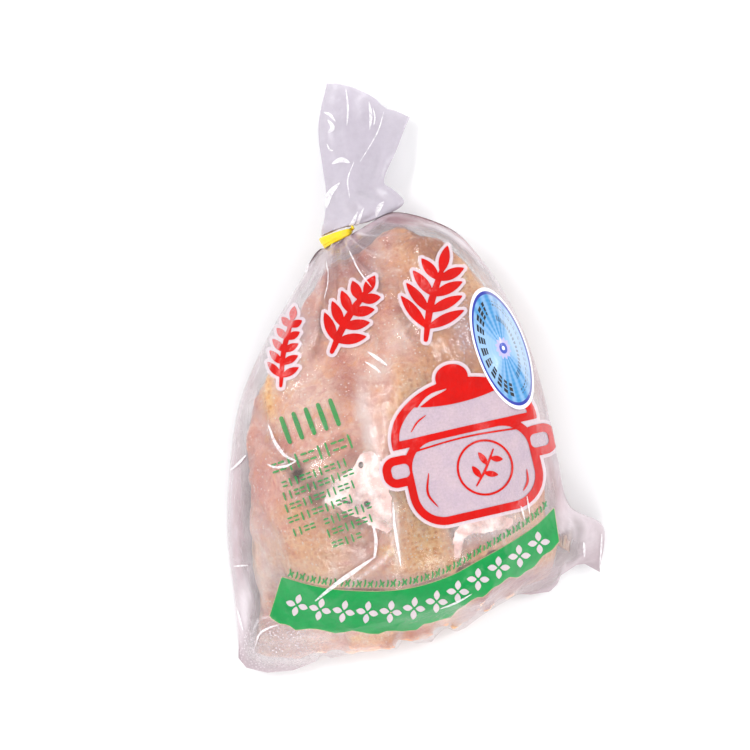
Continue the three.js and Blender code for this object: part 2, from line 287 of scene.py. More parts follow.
def add_node(tree, kind, *values, inputs=None, **settings):
    """Adds a node and sets its properties, then sets or links its inputs: `values` go to
    those in use in their order, `inputs` to those of these names. A node stands for its
    first output in use, and a hex code for its colour."""
    node = tree.nodes.new("ShaderNode" + kind)
    for key, value in settings.items():
        setattr(node, key, value)
    in_use = [socket for socket in node.inputs if socket.enabled]
    named = [(node.inputs[key], value) for key, value in (inputs or {}).items()]
    for socket, value in [*zip(in_use, values), *named]:
        if isinstance(value, bpy.types.Node):
            value = next(output for output in value.outputs if output.enabled)
        if isinstance(value, bpy.types.NodeSocket):
            tree.links.new(value, socket)
        elif isinstance(value, str):
            socket.default_value = (*rgb(value), 1)
        else:
            socket.default_value = value
    return node


def new_material(name):
    """A material, and add_node for its empty tree."""
    material = bpy.data.materials.new(name)
    material.use_nodes = True
    material.node_tree.nodes.clear()
    return material, partial(add_node, material.node_tree)


def read_fields(add, *names):
    """The numbers of these names that are stored on the mesh."""
    return [add("Attribute", attribute_name=name).outputs["Fac"] for name in names]


def layer(add, colour, tint, pattern, gain, start=0.0, share=1.0):
    """A colour turned towards a tint where a pattern is strong: by `share` of what the
    pattern's gain and start leave of it between 0 and 1."""
    cover = add("Math", pattern, gain, start, operation="MULTIPLY_ADD", use_clamp=True)
    part = add("Math", cover, share, operation="MULTIPLY", use_clamp=True)
    return add("Mix", part, colour, tint, data_type="RGBA")


def end_thin(add, cover, body):
    """Ends a material whose body shows by `cover`, and lets the rest through."""
    both = add("MixShader", cover, add("BsdfTransparent"), body)
    add("OutputMaterial", both)


# The scale of each pattern is 1 over its real size in metres.

def skin_material(s):
    """Raw chicken skin, plucked and frozen: moist and slightly see-through, so light
    blurs under it, with a goose-flesh of feather follicles about 1.8 mm apart."""
    material, add = new_material("raw_skin")
    at = add("TexCoord").outputs["Object"]
    yellow, tan, flush, fat, shaded_hollow = read_fields(add, "yellow", "tan", "flush", "fat", "shaded_hollow")
    broad = add("TexNoise", inputs={"Vector": at, "Scale": 1 / 0.018, "Detail": 4, "Roughness": 0.55})
    speck = add("TexNoise", inputs={"Vector": at, "Scale": 1 / 0.0026, "Detail": 6, "Roughness": 0.7})
    veins = add("TexNoise", inputs={
        "Vector": at, "Scale": 1 / 0.008, "Detail": 7, "Roughness": 0.72, "Distortion": 1.2,
    })
    mottle = add("TexNoise", inputs={
        "Vector": at, "Scale": 1 / 0.006, "Detail": 6, "Roughness": 0.7, "Distortion": 1.6,
    })
    fibre = add("TexNoise", inputs={
        "Vector": at, "Scale": 1 / 0.0034, "Detail": 5, "Roughness": 0.65, "Distortion": 2.2,
    })
    follicle = add("TexVoronoi", inputs={"Vector": at, "Scale": 1 / 0.0018, "Randomness": 0.4})
    flecks = add("TexVoronoi", inputs={"Vector": at, "Scale": 1 / 0.0013, "Randomness": 1.0})

    def grainy_patch(colour, tint, field, gain, start):
        """The colour turned towards a tint where a stored field is strong, in grains."""
        grains = add("Math", speck, gain, start, operation="MULTIPLY_ADD")
        return layer(add, colour, tint, add("Math", field, grains, operation="MULTIPLY"), 1.0)

    # Yellow skin, with an amber pore at each follicle, over skin that runs from pink to pale.
    pore = add("Math", follicle, -2.8, 1.35, operation="MULTIPLY_ADD", use_clamp=True)
    warm = layer(add, s.yellow, "#FFE6B8", speck, 2.6, -0.8)
    warm = layer(add, warm, "#DE9A50", pore, 0.85)
    uneven = add("Math", broad, 0.5, operation="SUBTRACT")
    uneven = add("Math", uneven, 0.9, yellow, operation="MULTIPLY_ADD", use_clamp=True)
    bounds = add("Math", yellow, 4.0, operation="MULTIPLY", use_clamp=True)
    warmth = add("Math", add("Math", uneven, bounds, operation="MULTIPLY"), s.warmth, operation="MAXIMUM")
    colour = layer(add, s.pink, s.pale, broad, 3.4, -1.25)
    colour = add("Mix", warmth, colour, warm, data_type="RGBA")
    # Tan skin, which in a few spots is painted shade.
    colour = grainy_patch(colour, s.tan, tan, 1.6, 0.1)

    # Small vessels and rose mottling, weaker on yellow, then amber mottling, fibres and fat.
    redness = add("Math", yellow, -0.4, 0.62, operation="MULTIPLY_ADD")
    colour = layer(add, colour, "#CC7466", veins, 6.0, -3.1, redness)
    colour = layer(add, colour, "#F8BE86", mottle, 9.0, -4.6, 0.55)
    lean = add("Math", yellow, -0.45, 0.5, operation="MULTIPLY_ADD")
    colour = layer(add, colour, "#D8908A", mottle, -9.0, 4.2, lean)
    thread = add("Math", add("Math", fibre, 0.5, operation="SUBTRACT"), operation="ABSOLUTE")
    thread = add("Math", thread, -26.0, 1.0, operation="MULTIPLY_ADD", use_clamp=True)
    colour = layer(add, colour, "#D68878", thread, 0.24)
    colour = layer(add, colour, "#FBEAE0", veins, -6.0, 2.75, 0.6)
    colour = grainy_patch(colour, "#B8463E", flush, 2.2, -0.2)
    colour = grainy_patch(colour, s.fat, fat, 0.8, 0.65)

    # Light and dark grains, flecks of frost, and painted shade, a dark olive brown, in the hollows where
    # the skin falls away.
    colour = layer(add, colour, "#FFF3EA", speck, 7.0, -3.9, 0.5)
    darkness = add("Math", fat, -0.15, 0.2, operation="MULTIPLY_ADD")
    colour = layer(add, colour, "#B56A58", speck, -7.0, 3.0, darkness)
    chance = add("SeparateColor", flecks.outputs["Color"])
    small = add("Math", flecks, 0.24, operation="LESS_THAN")
    few = add("Math", chance, 0.7, operation="GREATER_THAN")
    colour = layer(add, colour, "#FFF8F4", add("Math", small, few, operation="MULTIPLY"), 0.7)
    # Painted shade: dark olive brown laid into the hollows and the holes of the fat.
    colour = add("Mix", shaded_hollow, colour, "#3E3008", data_type="RGBA")

    pitted = add("Math", yellow, -0.7, -0.15, operation="MULTIPLY_ADD")
    rise = add("Math", speck, 0.8, operation="MULTIPLY")
    rise = add("Math", pore, pitted, rise, operation="MULTIPLY_ADD")
    rise = add("Math", thread, -0.2, rise, operation="MULTIPLY_ADD")
    shader = add("BsdfPrincipled", inputs={
        "Base Color": colour, "Roughness": 0.45, "IOR": 1.4, "Specular IOR Level": 0.4,
        "Subsurface Weight": 0.12, "Subsurface Scale": 0.002, "Subsurface Radius": (1.0, 0.42, 0.26),
        "Normal": add("Bump", inputs={"Strength": 0.55, "Distance": 0.0006, "Height": rise}),
    })
    add("OutputMaterial", shader)
    return material


def fat_material(s):
    """White body fat frozen against the film: waxy and faintly pink, thin enough in places
    for the skin to show, with grains of ice."""
    material, add = new_material("white_fat")
    at = add("TexCoord").outputs["Object"]
    cloud = add("TexNoise", inputs={"Vector": at, "Scale": 1 / 0.007, "Detail": 5, "Roughness": 0.6})
    ice = add("TexVoronoi", inputs={"Vector": at, "Scale": 1 / 0.0009})
    streak = add("TexNoise", inputs={"Vector": at, "Scale": 1 / 0.009, "Detail": 5, "Distortion": 1.5})
    colour = layer(add, "#DFBCB6", "#F2DDD9", streak, 5.0, -2.0)
    colour = add("Mix", add("Math", ice, 0.12, operation="LESS_THAN"), colour, s.fat, data_type="RGBA")
    shader = add("BsdfPrincipled", inputs={
        "Base Color": colour, "Roughness": 0.4, "IOR": 1.45, "Specular IOR Level": 0.35,
        "Subsurface Weight": 0.1, "Subsurface Scale": 0.001, "Coat Weight": 0.5, "Coat Roughness": 0.12,
        "Normal": add("Bump", inputs={"Strength": 0.5, "Distance": 0.0005, "Height": cloud}),
    })
    cover = add("Math", cloud, 2.4, -0.4, operation="MULTIPLY_ADD", use_clamp=True)
    end_thin(add, cover, shader)
    return material


def film_material(name, tint, s):
    """Blown low-density polyethylene, 0.05 mm thick: glossy and all but clear where it
    lies on wet skin, and a milky pale lavender where air, frost or a fold is behind it,
    with painted highlights on creases and flat facets and painted pink light from the meat."""
    material, add = new_material(name)
    at = add("TexCoord").outputs["Object"]
    gap, crease_and_glare, frost, skin_bounce = read_fields(add, "gap", "crease_and_glare", "frost", "skin_bounce")
    cloud = add("TexNoise", inputs={"Vector": at, "Scale": 1 / 0.011, "Detail": 4, "Roughness": 0.6})
    crinkle = add("TexNoise", inputs={
        "Vector": at, "Scale": 1 / 0.005, "Detail": 6, "Roughness": 0.62, "Distortion": 0.8,
    })
    fine = add("TexNoise", inputs={"Vector": at, "Scale": 1 / 0.0015, "Detail": 4, "Roughness": 0.6})
    speck = add("TexVoronoi", inputs={"Vector": at, "Scale": 1 / 0.0011})
    grains = add("Math", 0.42, speck, operation="SUBTRACT", use_clamp=True)
    icy = add("Math", frost, 3.0, operation="MULTIPLY")
    ice = add("Math", grains, icy, operation="MULTIPLY", use_clamp=True)

    # Milkiness: air behind the film, in clouds, then creases and their painted highlights, frost and the
    # film seen edge on.
    milk = add("Math", gap, s.milk, s.haze, operation="MULTIPLY_ADD")
    milk = add("Math", milk, add("Math", cloud, 0.9, 0.55, operation="MULTIPLY_ADD"), operation="MULTIPLY")
    milk = add("Math", crease_and_glare, 0.5, milk, operation="MULTIPLY_ADD")
    milk = add("Math", frost, 0.4, milk, operation="MULTIPLY_ADD")
    milk = add("Math", milk, ice, operation="ADD")
    edge = add("LayerWeight", inputs={"Blend": 0.3}).outputs["Facing"]
    edge = add("Math", edge, 2.2, operation="POWER")
    milk = add("Math", edge, 0.35, milk, operation="MULTIPLY_ADD", use_clamp=True)

    # Painted light: the milky film turned a darker pink where the meat behind bounces its colour.
    colour = add("Mix", skin_bounce, tint, s.skin_bounce, data_type="RGBA")
    # Frost grains, and the creases and flat facets whitened: partly the film's own whitening, partly
    # painted highlight.
    white = add("Math", ice, crease_and_glare, operation="MAXIMUM", use_clamp=True)
    colour = add("Mix", white, colour, "#FBF8FC", data_type="RGBA")
    rise = add("Math", fine, 0.2, crinkle, operation="MULTIPLY_ADD")
    bump = add("Bump", inputs={"Strength": 0.5, "Distance": 0.0006, "Height": rise})
    body = add("BsdfPrincipled", inputs={
        "Base Color": colour, "Roughness": 0.4, "IOR": 1.5, "Normal": bump, "Specular IOR Level": 0.1,
    })
    inner = add("MixShader", milk, add("BsdfTransparent"), body)
    gloss = add("BsdfAnisotropic", inputs={"Color": (1, 1, 1, 1), "Roughness": 0.1, "Normal": bump})
    shine = add("Fresnel", inputs={"IOR": 1.5, "Normal": bump})
    add("OutputMaterial", add("MixShader", shine, inner, gloss))
    return material


def fold_glint_material():
    """The same film where it is folded double into a sharp crease, and the film's glints: a
    white line, partly the doubled film and partly a painted highlight where it catches the light."""
    material, add = new_material("folded_film_glint")
    at = add("TexCoord").outputs["Object"]
    streak = add("TexNoise", inputs={"Vector": at, "Scale": 1 / 0.0018, "Detail": 4, "Roughness": 0.65})
    cover = add("Math", streak, 1.5, -0.12, operation="MULTIPLY_ADD", use_clamp=True)
    body = add("BsdfPrincipled", inputs={"Base Color": "#FFFBFF", "Roughness": 0.25, "IOR": 1.5})
    end_thin(add, cover, body)
    return material


def ink_material(name, code, deep, strength):
    """Flexographic ink on film: thin, slightly see-through and a little uneven, with
    deeper clouds where more of it was laid down, and satin from the film's crinkles."""
    material, add = new_material(name)
    at = add("TexCoord").outputs["Object"]
    cloud = add("TexNoise", inputs={"Vector": at, "Scale": 1 / 0.006, "Detail": 5, "Roughness": 0.65})
    pin = add("TexNoise", inputs={"Vector": at, "Scale": 1 / 0.0009, "Detail": 3, "Roughness": 0.7})
    crinkle = add("TexNoise", inputs={
        "Vector": at, "Scale": 1 / 0.0045, "Detail": 5, "Roughness": 0.6, "Distortion": 0.6,
    })
    body = add("BsdfPrincipled", inputs={
        "Base Color": layer(add, code, deep, cloud, 2.4, -0.75),
        "Roughness": 0.22, "IOR": 1.5, "Specular IOR Level": 0.18,
        "Normal": add("Bump", inputs={"Strength": 0.4, "Distance": 0.0005, "Height": crinkle}),
    })
    cover = add("Math", pin, 0.25, strength - 0.12, operation="MULTIPLY_ADD", use_clamp=True)
    end_thin(add, cover, body)
    return material


def tape_material(s):
    """Vinyl tape, dyed yellow and drawn tight: satin, with a fine unevenness where it has
    stretched, and deeper yellow where it is thick."""
    material, add = new_material("vinyl_tape")
    at = add("TexCoord").outputs["Object"]
    lines = add("TexNoise", inputs={"Vector": at, "Scale": 1 / 0.0007, "Detail": 3})
    cloud = add("TexNoise", inputs={"Vector": at, "Scale": 1 / 0.004, "Detail": 3})
    shader = add("BsdfPrincipled", inputs={
        "Base Color": layer(add, s.yellow, "#F3C21A", cloud, 2.0, -0.6),
        "Roughness": 0.35, "IOR": 1.5, "Subsurface Weight": 0.1, "Subsurface Scale": 0.001,
        "Normal": add("Bump", inputs={"Strength": 0.4, "Distance": 0.0002, "Height": lines}),
    })
    add("OutputMaterial", shader)
    return material


def label_material(s):
    """Coated paper, offset printed: a white rim, a deep blue ring, and a pale blue
    field with brighter rays out of a small rosette. The print is laid out by the
    label's own oval, whose rim is at distance 1."""
    material, add = new_material("coated_paper")
    uv = add("UVMap", uv_map="oval")
    u, v = add("SeparateXYZ", uv).outputs[:2]
    along = add("Math", v, s.length / s.width, operation="MULTIPLY")

    def length(a, b):
        """Length of the vector (a, b)."""
        square = add("Math", b, b, operation="MULTIPLY")
        return add("Math", add("Math", a, a, square, operation="MULTIPLY_ADD"), operation="SQRT")

    def waves(value, count, kind="SINE"):
        """Waves over a value, -1 to 1."""
        return add("Math", add("Math", value, count, operation="MULTIPLY"), operation=kind)

    def within(value, low, high):
        """1 where a value lies between two others, and 0 elsewhere."""
        over = add("Math", value, low, operation="GREATER_THAN")
        under = add("Math", value, high, operation="LESS_THAN")
        return add("Math", over, under, operation="MULTIPLY")

    far, real, turn = length(u, v), length(u, along), add("Math", u, along, operation="ARCTAN2")
    round_rim = add("Math", u, v, operation="ARCTAN2")

    def dashes(count, low, high, side, lines):
        """Short dashes round one side of the oval, between two distances."""
        marks = within(far, low, high)
        for value, above in (
            (waves(round_rim, count), -0.4),
            (waves(far, lines), -0.75),
            (add("Math", u, side, operation="MULTIPLY"), 0.12),
        ):
            here = add("Math", value, above, operation="GREATER_THAN")
            marks = add("Math", marks, here, operation="MULTIPLY")
        return marks

    fans = add("Math", waves(turn, 2.0, "COSINE"), 0.5, 0.5, operation="MULTIPLY_ADD")
    fans = add("Math", fans, 2.2, -1.0, operation="MULTIPLY_ADD", use_clamp=True)
    beams = add("Math", waves(turn, 26.0), 0.35, 0.65, operation="MULTIPLY_ADD")
    beams = add("Math", fans, beams, operation="MULTIPLY")
    cloud = add("TexNoise", inputs={"Vector": uv, "Scale": 6.0, "Detail": 3})
    cloud = add("Math", cloud, 1.2, 0.5, operation="MULTIPLY_ADD")
    rays = add("Math", beams, cloud, operation="MULTIPLY", use_clamp=True)
    ground = add("Mix", rays, s.field, s.rays, data_type="RGBA")
    ground = layer(add, ground, "#FFFFFF", waves(real, 60.0), 0.02, 0.02)
    ground = layer(add, ground, "#070A12", dashes(24.0, 0.58, 0.8, -1.0, 76.0), 1.0)
    ground = layer(add, ground, "#2A3646", dashes(52.0, 0.7, 0.78, 1.0, 40.0), 0.85)
    ground = layer(add, ground, "#2A3646", dashes(46.0, 0.44, 0.54, 1.0, 40.0), 0.7)
    petals = add("Math", waves(turn, 12.0, "COSINE"), 0.035, 0.25, operation="MULTIPLY_ADD")
    for edge, tint in ((petals, "#B4AEDC"), (0.14, "#3A4FB0"), (0.055, "#E9EDF8")):
        ground = layer(add, ground, tint, add("Math", real, edge, operation="LESS_THAN"), 1.0)
    colour = add("Mix", within(far, 0.885, 0.94), ground, s.ring, data_type="RGBA")
    rim = add("Math", far, 0.94, operation="GREATER_THAN")
    colour = add("Mix", rim, colour, "#F7F5F8", data_type="RGBA")
    at = add("TexCoord").outputs["Object"]
    fibres = add("TexNoise", inputs={"Vector": at, "Scale": 1 / 0.0008, "Detail": 2})
    shader = add("BsdfPrincipled", inputs={
        "Base Color": colour, "Roughness": 0.28, "IOR": 1.5, "Coat Weight": 0.2, "Coat Roughness": 0.15,
        "Normal": add("Bump", inputs={"Strength": 0.15, "Distance": 0.0001, "Height": fibres}),
    })
    add("OutputMaterial", shader)
    return material


def table_material():
    """White melamine board, matt, with the faintest unevenness of its pressed face."""
    material, add = new_material("white_board")
    at = add("TexCoord").outputs["Object"]
    cloud = add("TexNoise", inputs={"Vector": at, "Scale": 1 / 0.12, "Detail": 3})
    colour = add("Mix", cloud, "#FBFBFC", "#F5F5F7", data_type="RGBA")
    shader = add("BsdfPrincipled", inputs={"Base Color": colour, "Roughness": 0.6, "IOR": 1.45})
    add("OutputMaterial", shader)
    return material


# ------------------------------------------------------------------ the bird

def bird_place(along, across, up):
    """A point of the bird's own frame in the layout."""
    s, c = math.sin(BIRD_TURN), math.cos(BIRD_TURN)
    return np.array([BIRD_MIDDLE[0] + along * s + across * c, BIRD_MIDDLE[1] + along * c - across * s, up])


def body_grid(steps, columns):
    """Points of one panel of the body, from its bottom edge to the neck."""
    return rib_grid([*BODY_RIBS, neck_rib(-1)[:3]], steps, columns, BOTTOM_EDGE)


def body_panels(grid, tree, clearance, sag):
    """The upper and lower panel drawn over what `tree` holds, and how high and low that
    reaches."""
    reach_up = bird_reach(tree, grid, 1) + clearance
    reach_down = bird_reach(tree, grid, -1) - clearance
    arc = np.sin(np.linspace(0, math.pi, grid.shape[1]))
    upper, lower = grid.copy(), grid.copy()
    upper[-1, :, 2] = NECK["z"] + NECK["half_height"] * arc
    lower[-1, :, 2] = NECK["z"] - NECK["half_height"] * arc
    upper[:, :, 2] = drape(upper, reach_up, 1, sag)
    lower[:, :, 2] = drape(lower, reach_down, -1, sag * 0.3)
    return upper, lower, reach_up, reach_down


def add_slack(bm, s):
    """Adds the slack skin and flesh that lie pressed between the forms, as one solid
    just inside the film that is drawn over the forms alone."""
    bm.verts.ensure_lookup_table()
    forms = [v.co.copy() for v in bm.verts]
    tree = BVHTree.FromPolygons(forms, [[v.index for v in f.verts] for f in bm.faces])
    grid = body_grid(6, 84)[0]
    upper, lower = body_panels(grid, tree, 0.4, 0.012)[:2]
    deep = upper[:, :, 2] - lower[:, :, 2]
    middle = (upper[:, :, 2] + lower[:, :, 2]) / 2
    half = (deep / 2 - s.cover) * np.sqrt(smoothstep(s.margin, s.margin * 1.9, deep))
    inside = deep > s.margin
    inside[[0, -1]] = False
    rows, columns = inside.shape
    number = np.full((2, rows, columns), None)
    for side, r, c in np.ndindex(2, rows, columns):
        if inside[r, c]:
            z = middle[r, c] + (half[r, c] if side else -half[r, c])
            number[side, r, c] = bm.verts.new((grid[r, c, 0], grid[r, c, 1], z))
    rim = {}
    for r, c in np.ndindex(rows - 1, columns - 1):
        corners = [(r, c), (r, c + 1), (r + 1, c + 1), (r + 1, c)]
        if all(inside[k] for k in corners):
            bm.faces.new([number[(1, *k)] for k in corners])
            bm.faces.new([number[(0, *k)] for k in reversed(corners)])
            for a, b in zip(corners, corners[1:] + corners[:1]):
                if rim.pop((b, a), None) is None:
                    rim[(a, b)] = True
    for a, b in rim:
        bm.faces.new([number[(1, *b)], number[(1, *a)], number[(0, *a)], number[(0, *b)]])


def fused_forms(s):
    """The bird's forms grown together into one skin, as a mesh in the layout."""
    bm = bmesh.new()
    for middle, half, turn in LOBES.values():
        heading = BIRD_TURN + math.radians(turn)
        long = np.array([math.sin(heading), math.cos(heading), 0])
        cross = np.array([-math.cos(heading), math.sin(heading), 0])
        ball = bmesh.ops.create_icosphere(bm, subdivisions=4, radius=1.0)
        for v in ball["verts"]:
            p = bird_place(*middle) + v.co.x * half[0] * long + v.co.y * half[1] * cross
            v.co = Vector((p[0], p[1], p[2] + v.co.z * half[2]))
    add_slack(bm, s)
    mesh = bpy.data.meshes.new("forms")
    bm.to_mesh(mesh)
    bm.free()
    forms = bpy.data.objects.new("forms", mesh)
    bpy.context.scene.collection.objects.link(forms)
    fuse = forms.modifiers.new("fuse", "REMESH")
    fuse.mode = "VOXEL"
    fuse.voxel_size = s.fineness
    graph = bpy.context.evaluated_depsgraph_get()
    fused = bpy.data.meshes.new_from_object(forms.evaluated_get(graph))
    bpy.data.objects.remove(forms)
    return fused


def film_outline():
    """The bag's outline in the layout, from above, round from its bottom left corner."""
    grid = body_grid(4, 60)[0][:, :, :2]
    return np.vstack([grid[0], grid[1:, -1], grid[-1, ::-1], grid[-2:0:-1, 0]])


def tuck_in(points, s):
    """Moves points sideways so that the skin ends a little way inside the film's edge."""
    edge = film_outline()
    plan = points[:, :2]
    close = np.flatnonzero(outline(plan, edge) > -16)
    plan = plan[close]
    inside = -outline(plan, edge)
    step = 0.05
    slope = np.stack([-outline(plan + d, edge) - inside for d in np.eye(2) * step], 1)
    slope /= np.maximum(np.linalg.norm(slope, axis=1, keepdims=True), 1e-6)
    low = smoothstep(-48, -62, plan[:, 1])
    leftward = smoothstep(-45, -68, plan[:, 0])
    rest = s.rim * (1 - low) + s.foot_rim * low + s.left_rim * leftward * smoothstep(12, -8, plan[:, 1])
    rest += 8 * np.exp(-((plan - (54, -51)) ** 2).sum(1) / 260)
    rest += 0.9 * grain(points[close], 9, 2, 21)
    share = np.clip((inside + 4) / (2 * rest + 4), 0, 1)
    moved = np.where(share < 1, rest * (1 + share), inside)
    points = points.copy()
    points[close, :2] += slope * np.maximum(0, moved - inside)[:, None]
    return points


def soften(points, edges, passes):
    """Draws each point towards the mean of its neighbours."""
    count = np.bincount(edges.ravel(), minlength=len(points))[:, None]
    for _ in range(passes):
        total = np.zeros_like(points)
        for axis in range(3):
            total[:, axis] = np.bincount(edges[:, 0], points[edges[:, 1], axis], len(points))
            total[:, axis] += np.bincount(edges[:, 1], points[edges[:, 0], axis], len(points))
        points = points + 0.6 * (total / np.maximum(count, 1) - points)
    return points


class CHICKEN_OT_bird(bpy.types.Operator):
    """Adds the dressed bird, lying on its back"""

    bl_idname = "chicken.add_bird"
    bl_label = "Bird"

    def execute(self, context):
        s = context.scene.chicken_bird
        fused = fused_forms(s)
        count = len(fused.vertices)
        points = np.empty(count * 3)
        fused.vertices.foreach_get("co", points)
        points = points.reshape(-1, 3)
        edges = np.empty(len(fused.edges) * 2, int)
        fused.edges.foreach_get("vertices", edges)
        edges = edges.reshape(-1, 2)
        points = soften(tuck_in(soften(points, edges, s.soften), s), edges, 2)
        for v, p in zip(fused.vertices, points):
            v.co = p
        fused.update()
        normals = np.empty(count * 3)
        fused.vertex_normals.foreach_get("vector", normals)
        normals = normals.reshape(-1, 3)
        q = on_sheet(points)
        crumple = patches(q, CRUMPLED_SKIN)
        relief = 0.55 * grain(points, 16, 3, 1)
        stretched = points * np.array([1.0, 0.55, 1.0])
        relief += (0.25 + 1.5 * crumple) * (ridges(stretched, 9, 3, 2) - 0.35)
        relief += 0.8 * crumple * grain(points, 3.5, 2, 3)
        strayed = q + 5 * grain(points, 14, 2, 11)[:, None]
        for line, depth, half_width in SKIN_FOLDS:
            fold = smooth_line(line, np.linspace(0, len(line) - 1, 16))
            far = line_distance(strayed, fold)[0] * PRINT_PITCH / half_width
            lip = 0.45 * np.exp(-((far - 1.9) ** 2))
            relief += depth * (lip - np.exp(-far * far)) * smoothstep(8, 16, points[:, 2])
        flap = smoothstep(2.5, -2.5, outline(q + 1.5 * grain(points, 5, 2, 14)[:, None], FAT_FORM))
        relief += 0.5 * flap
        # Hollows pressed into the skin, which the skin's material also paints with dark shade.
        shaded_hollow = patches(q, SHADED_HOLLOWS) * smoothstep(25, 35, points[:, 2])
        relief -= 1.2 * shaded_hollow
        points = points + normals * np.minimum(relief, 1.2)[:, None]
        points = tuck_in(points, s)
        points[:, 2] = np.maximum(points[:, 2], 0.6)
        faces = [tuple(p.vertices) for p in fused.polygons]
        bird = add_piece("bird", points, faces, skin_material(s))
        bpy.data.meshes.remove(fused)
        wobble = 10 * grain(points, 20, 2, 4)
        shaken = q + np.stack([wobble, 6 * grain(points, 12, 2, 5)], 1)
        right_side = smoothstep(-12, 6, shaken[:, 0] - keel_line(shaken[:, 1]))
        yellow = np.maximum(0.6 * right_side, patches(shaken, YELLOW_SKIN))
        set_field(bird, "yellow", np.clip(yellow - patches(shaken, PALE_SKIN), 0, 1))
        set_field(bird, "tan", patches(shaken, TAN_SKIN_AND_SHADE))
        set_field(bird, "flush", patches(shaken, FLUSHED_SKIN))
        set_field(bird, "fat", np.maximum(flap, patches(shaken, WHITE_FAT)))
        set_field(bird, "shaded_hollow", shaded_hollow)
        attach(bird, "root")
        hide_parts("bag")
        return {"FINISHED"}


# Folds of the skin on the print grid: a line, its depth and its half width in mm.
SKIN_FOLDS = [
    ([(-37, 100), (-28, 30), (-23, -40), (-20, -110), (-22, -160)], 0.9, 2.2),
    ([(-158, 100), (-160, 10), (-170, -40)], 1.4, 2.0),
    ([(-152, -30), (-120, -38), (-75, -10)], 1.6, 1.6),
    ([(-75, 170), (-90, 130), (-102, 80)], 1.2, 2.4),
    ([(-30, 190), (20, 203), (60, 176), (88, 130)], 1.6, 2.0),
    ([(-90, -175), (-75, -208), (-92, -232)], 2.0, 2.0),
    ([(-18, -170), (-16, -200), (-22, -222)], 1.8, 1.6),
    ([(10, -170), (20, -196), (28, -206)], 1.8, 1.6),
    ([(70, -130), (80, -165), (78, -180)], 1.8, 1.8),
    ([(35, -90), (44, -128), (36, -160)], 1.8, 1.6),
    ([(-95, -90), (-60, -110), (-30, -92)], 1.4, 1.8),
    ([(60, 95), (85, 60), (100, 20)], 1.2, 2.2),
    ([(-20, 120), (8, 70), (2, 30)], 0.6, 2.2),
    ([(-165, -80), (-140, -120), (-140, -170)], 1.4, 2.2),
    ([(-84, -77), (-62, -84), (-44, -96)], 0.9, 1.0),
    ([(-94, -64), (-74, -58), (-52, -62)], 0.5, 1.4),
    ([(-86, 184), (-88, 160), (-87, 132)], 1.6, 1.2),
    ([(-80, 180), (-72, 160), (-66, 140)], 1.4, 1.2),
    ([(-72, 176), (-52, 160), (-38, 140)], 1.2, 1.4),
    ([(78, -155), (68, -172), (58, -188)], 1.4, 1.0),
    ([(38, -186), (30, -196), (16, -204)], 1.2, 1.0),
]


def keel_line(b):
    """Where the keel shows across the print grid at height b."""
    return -25 + 0.015 * (b + 20)


# Tones of the skin on the print grid: middle, half width, half length, turn, strength.
YELLOW_SKIN = [
    (5, -95, 26, 80, 0, 1.0), (-156, 50, 10, 42, 16, 0.95), (-33, -122, 10, 6, 0, 1.5),
    (-30, -205, 50, 14, 0, 0.55), (-60, -150, 60, 18, 0, 0.4), (-165, -140, 10, 60, 0, 0.55),
    (40, 60, 40, 60, 0, 0.6), (-150, 25, 12, 16, 0, 0.7), (-105, -120, 50, 50, 0, 0.55),
    (-152, 40, 7, 30, 14, 1.2), (-130, -85, 14, 10, 0, 0.8), (-100, -140, 16, 8, 20, 0.8),
    (-60, -205, 16, 8, 10, 0.8), (-148, -8, 9, 6, 0, 0.9),
]
PALE_SKIN = [(-158, -160, 16, 26, 0, 0.5), (-20, 110, 22, 40, 20, 0.5), (60, -100, 30, 18, 20, 0.7)]
# Tan skin of the thigh, and painted shade: the brown spot by the fat flap's left edge and the thin dark
# lines along two folds at the foot.
TAN_SKIN_AND_SHADE = [
    (10, 190, 32, 22, -20, 1.5), (42, 80, 40, 60, 10, 0.75), (95, -62, 22, 16, 30, 0.6),
    (-30, 150, 26, 18, 20, 0.4), (-72, 165, 20, 18, 0, 0.3), (48, 45, 22, 20, 10, 0.6),
    (95, -95, 22, 16, 30, 0.4), (52, -122, 12, 14, 0, 0.5), (-103, -68, 10, 10, 20, 0.9),
    (-15, 115, 14, 22, 20, 0.4), (67, -172, 3, 18, -25, 1.0), (30, -197, 16, 3, 25, 0.8),
]
FLUSHED_SKIN = [
    (-66, -128, 30, 14, 20, 0.3), (-120, -60, 24, 20, 0, 0.3), (-72, 45, 22, 16, -40, 0.5),
    (-148, -12, 24, 12, -20, 0.5), (-165, -45, 20, 30, 0, 0.35), (-8, -200, 14, 8, 0, 0.6),
    (60, 100, 12, 16, 0, 0.35), (-110, -80, 60, 30, 0, 0.2), (20, 203, 26, 6, -10, 0.5),
    (28, 206, 24, 3.5, -22, 1.0), (62, 178, 24, 4, -48, 0.8), (104, -148, 9, 5, 20, 1.0),
    (-60, 168, 14, 22, 10, 0.45), (-88, 190, 16, 10, 0, 0.25), (-18, -215, 14, 8, 0, 0.5),
    (100, -150, 10, 6, 30, 0.6),
]
FAT_FORM = [
    (-47, -20), (-59, -24), (-67, -38), (-84, -51), (-94, -64), (-97, -73), (-84, -77), (-62, -88),
    (-47, -96), (-32, -103), (-27, -99), (-28, -74), (-34, -44), (-40, -29),
]
FAT_PATCH = [
    (35, -102), (40, -96), (50, -92), (60, -84), (72, -82), (84, -85), (95, -92), (88, -98),
    (76, -100), (64, -104), (50, -104), (43, -110), (41, -128), (35, -128), (33, -114),
]
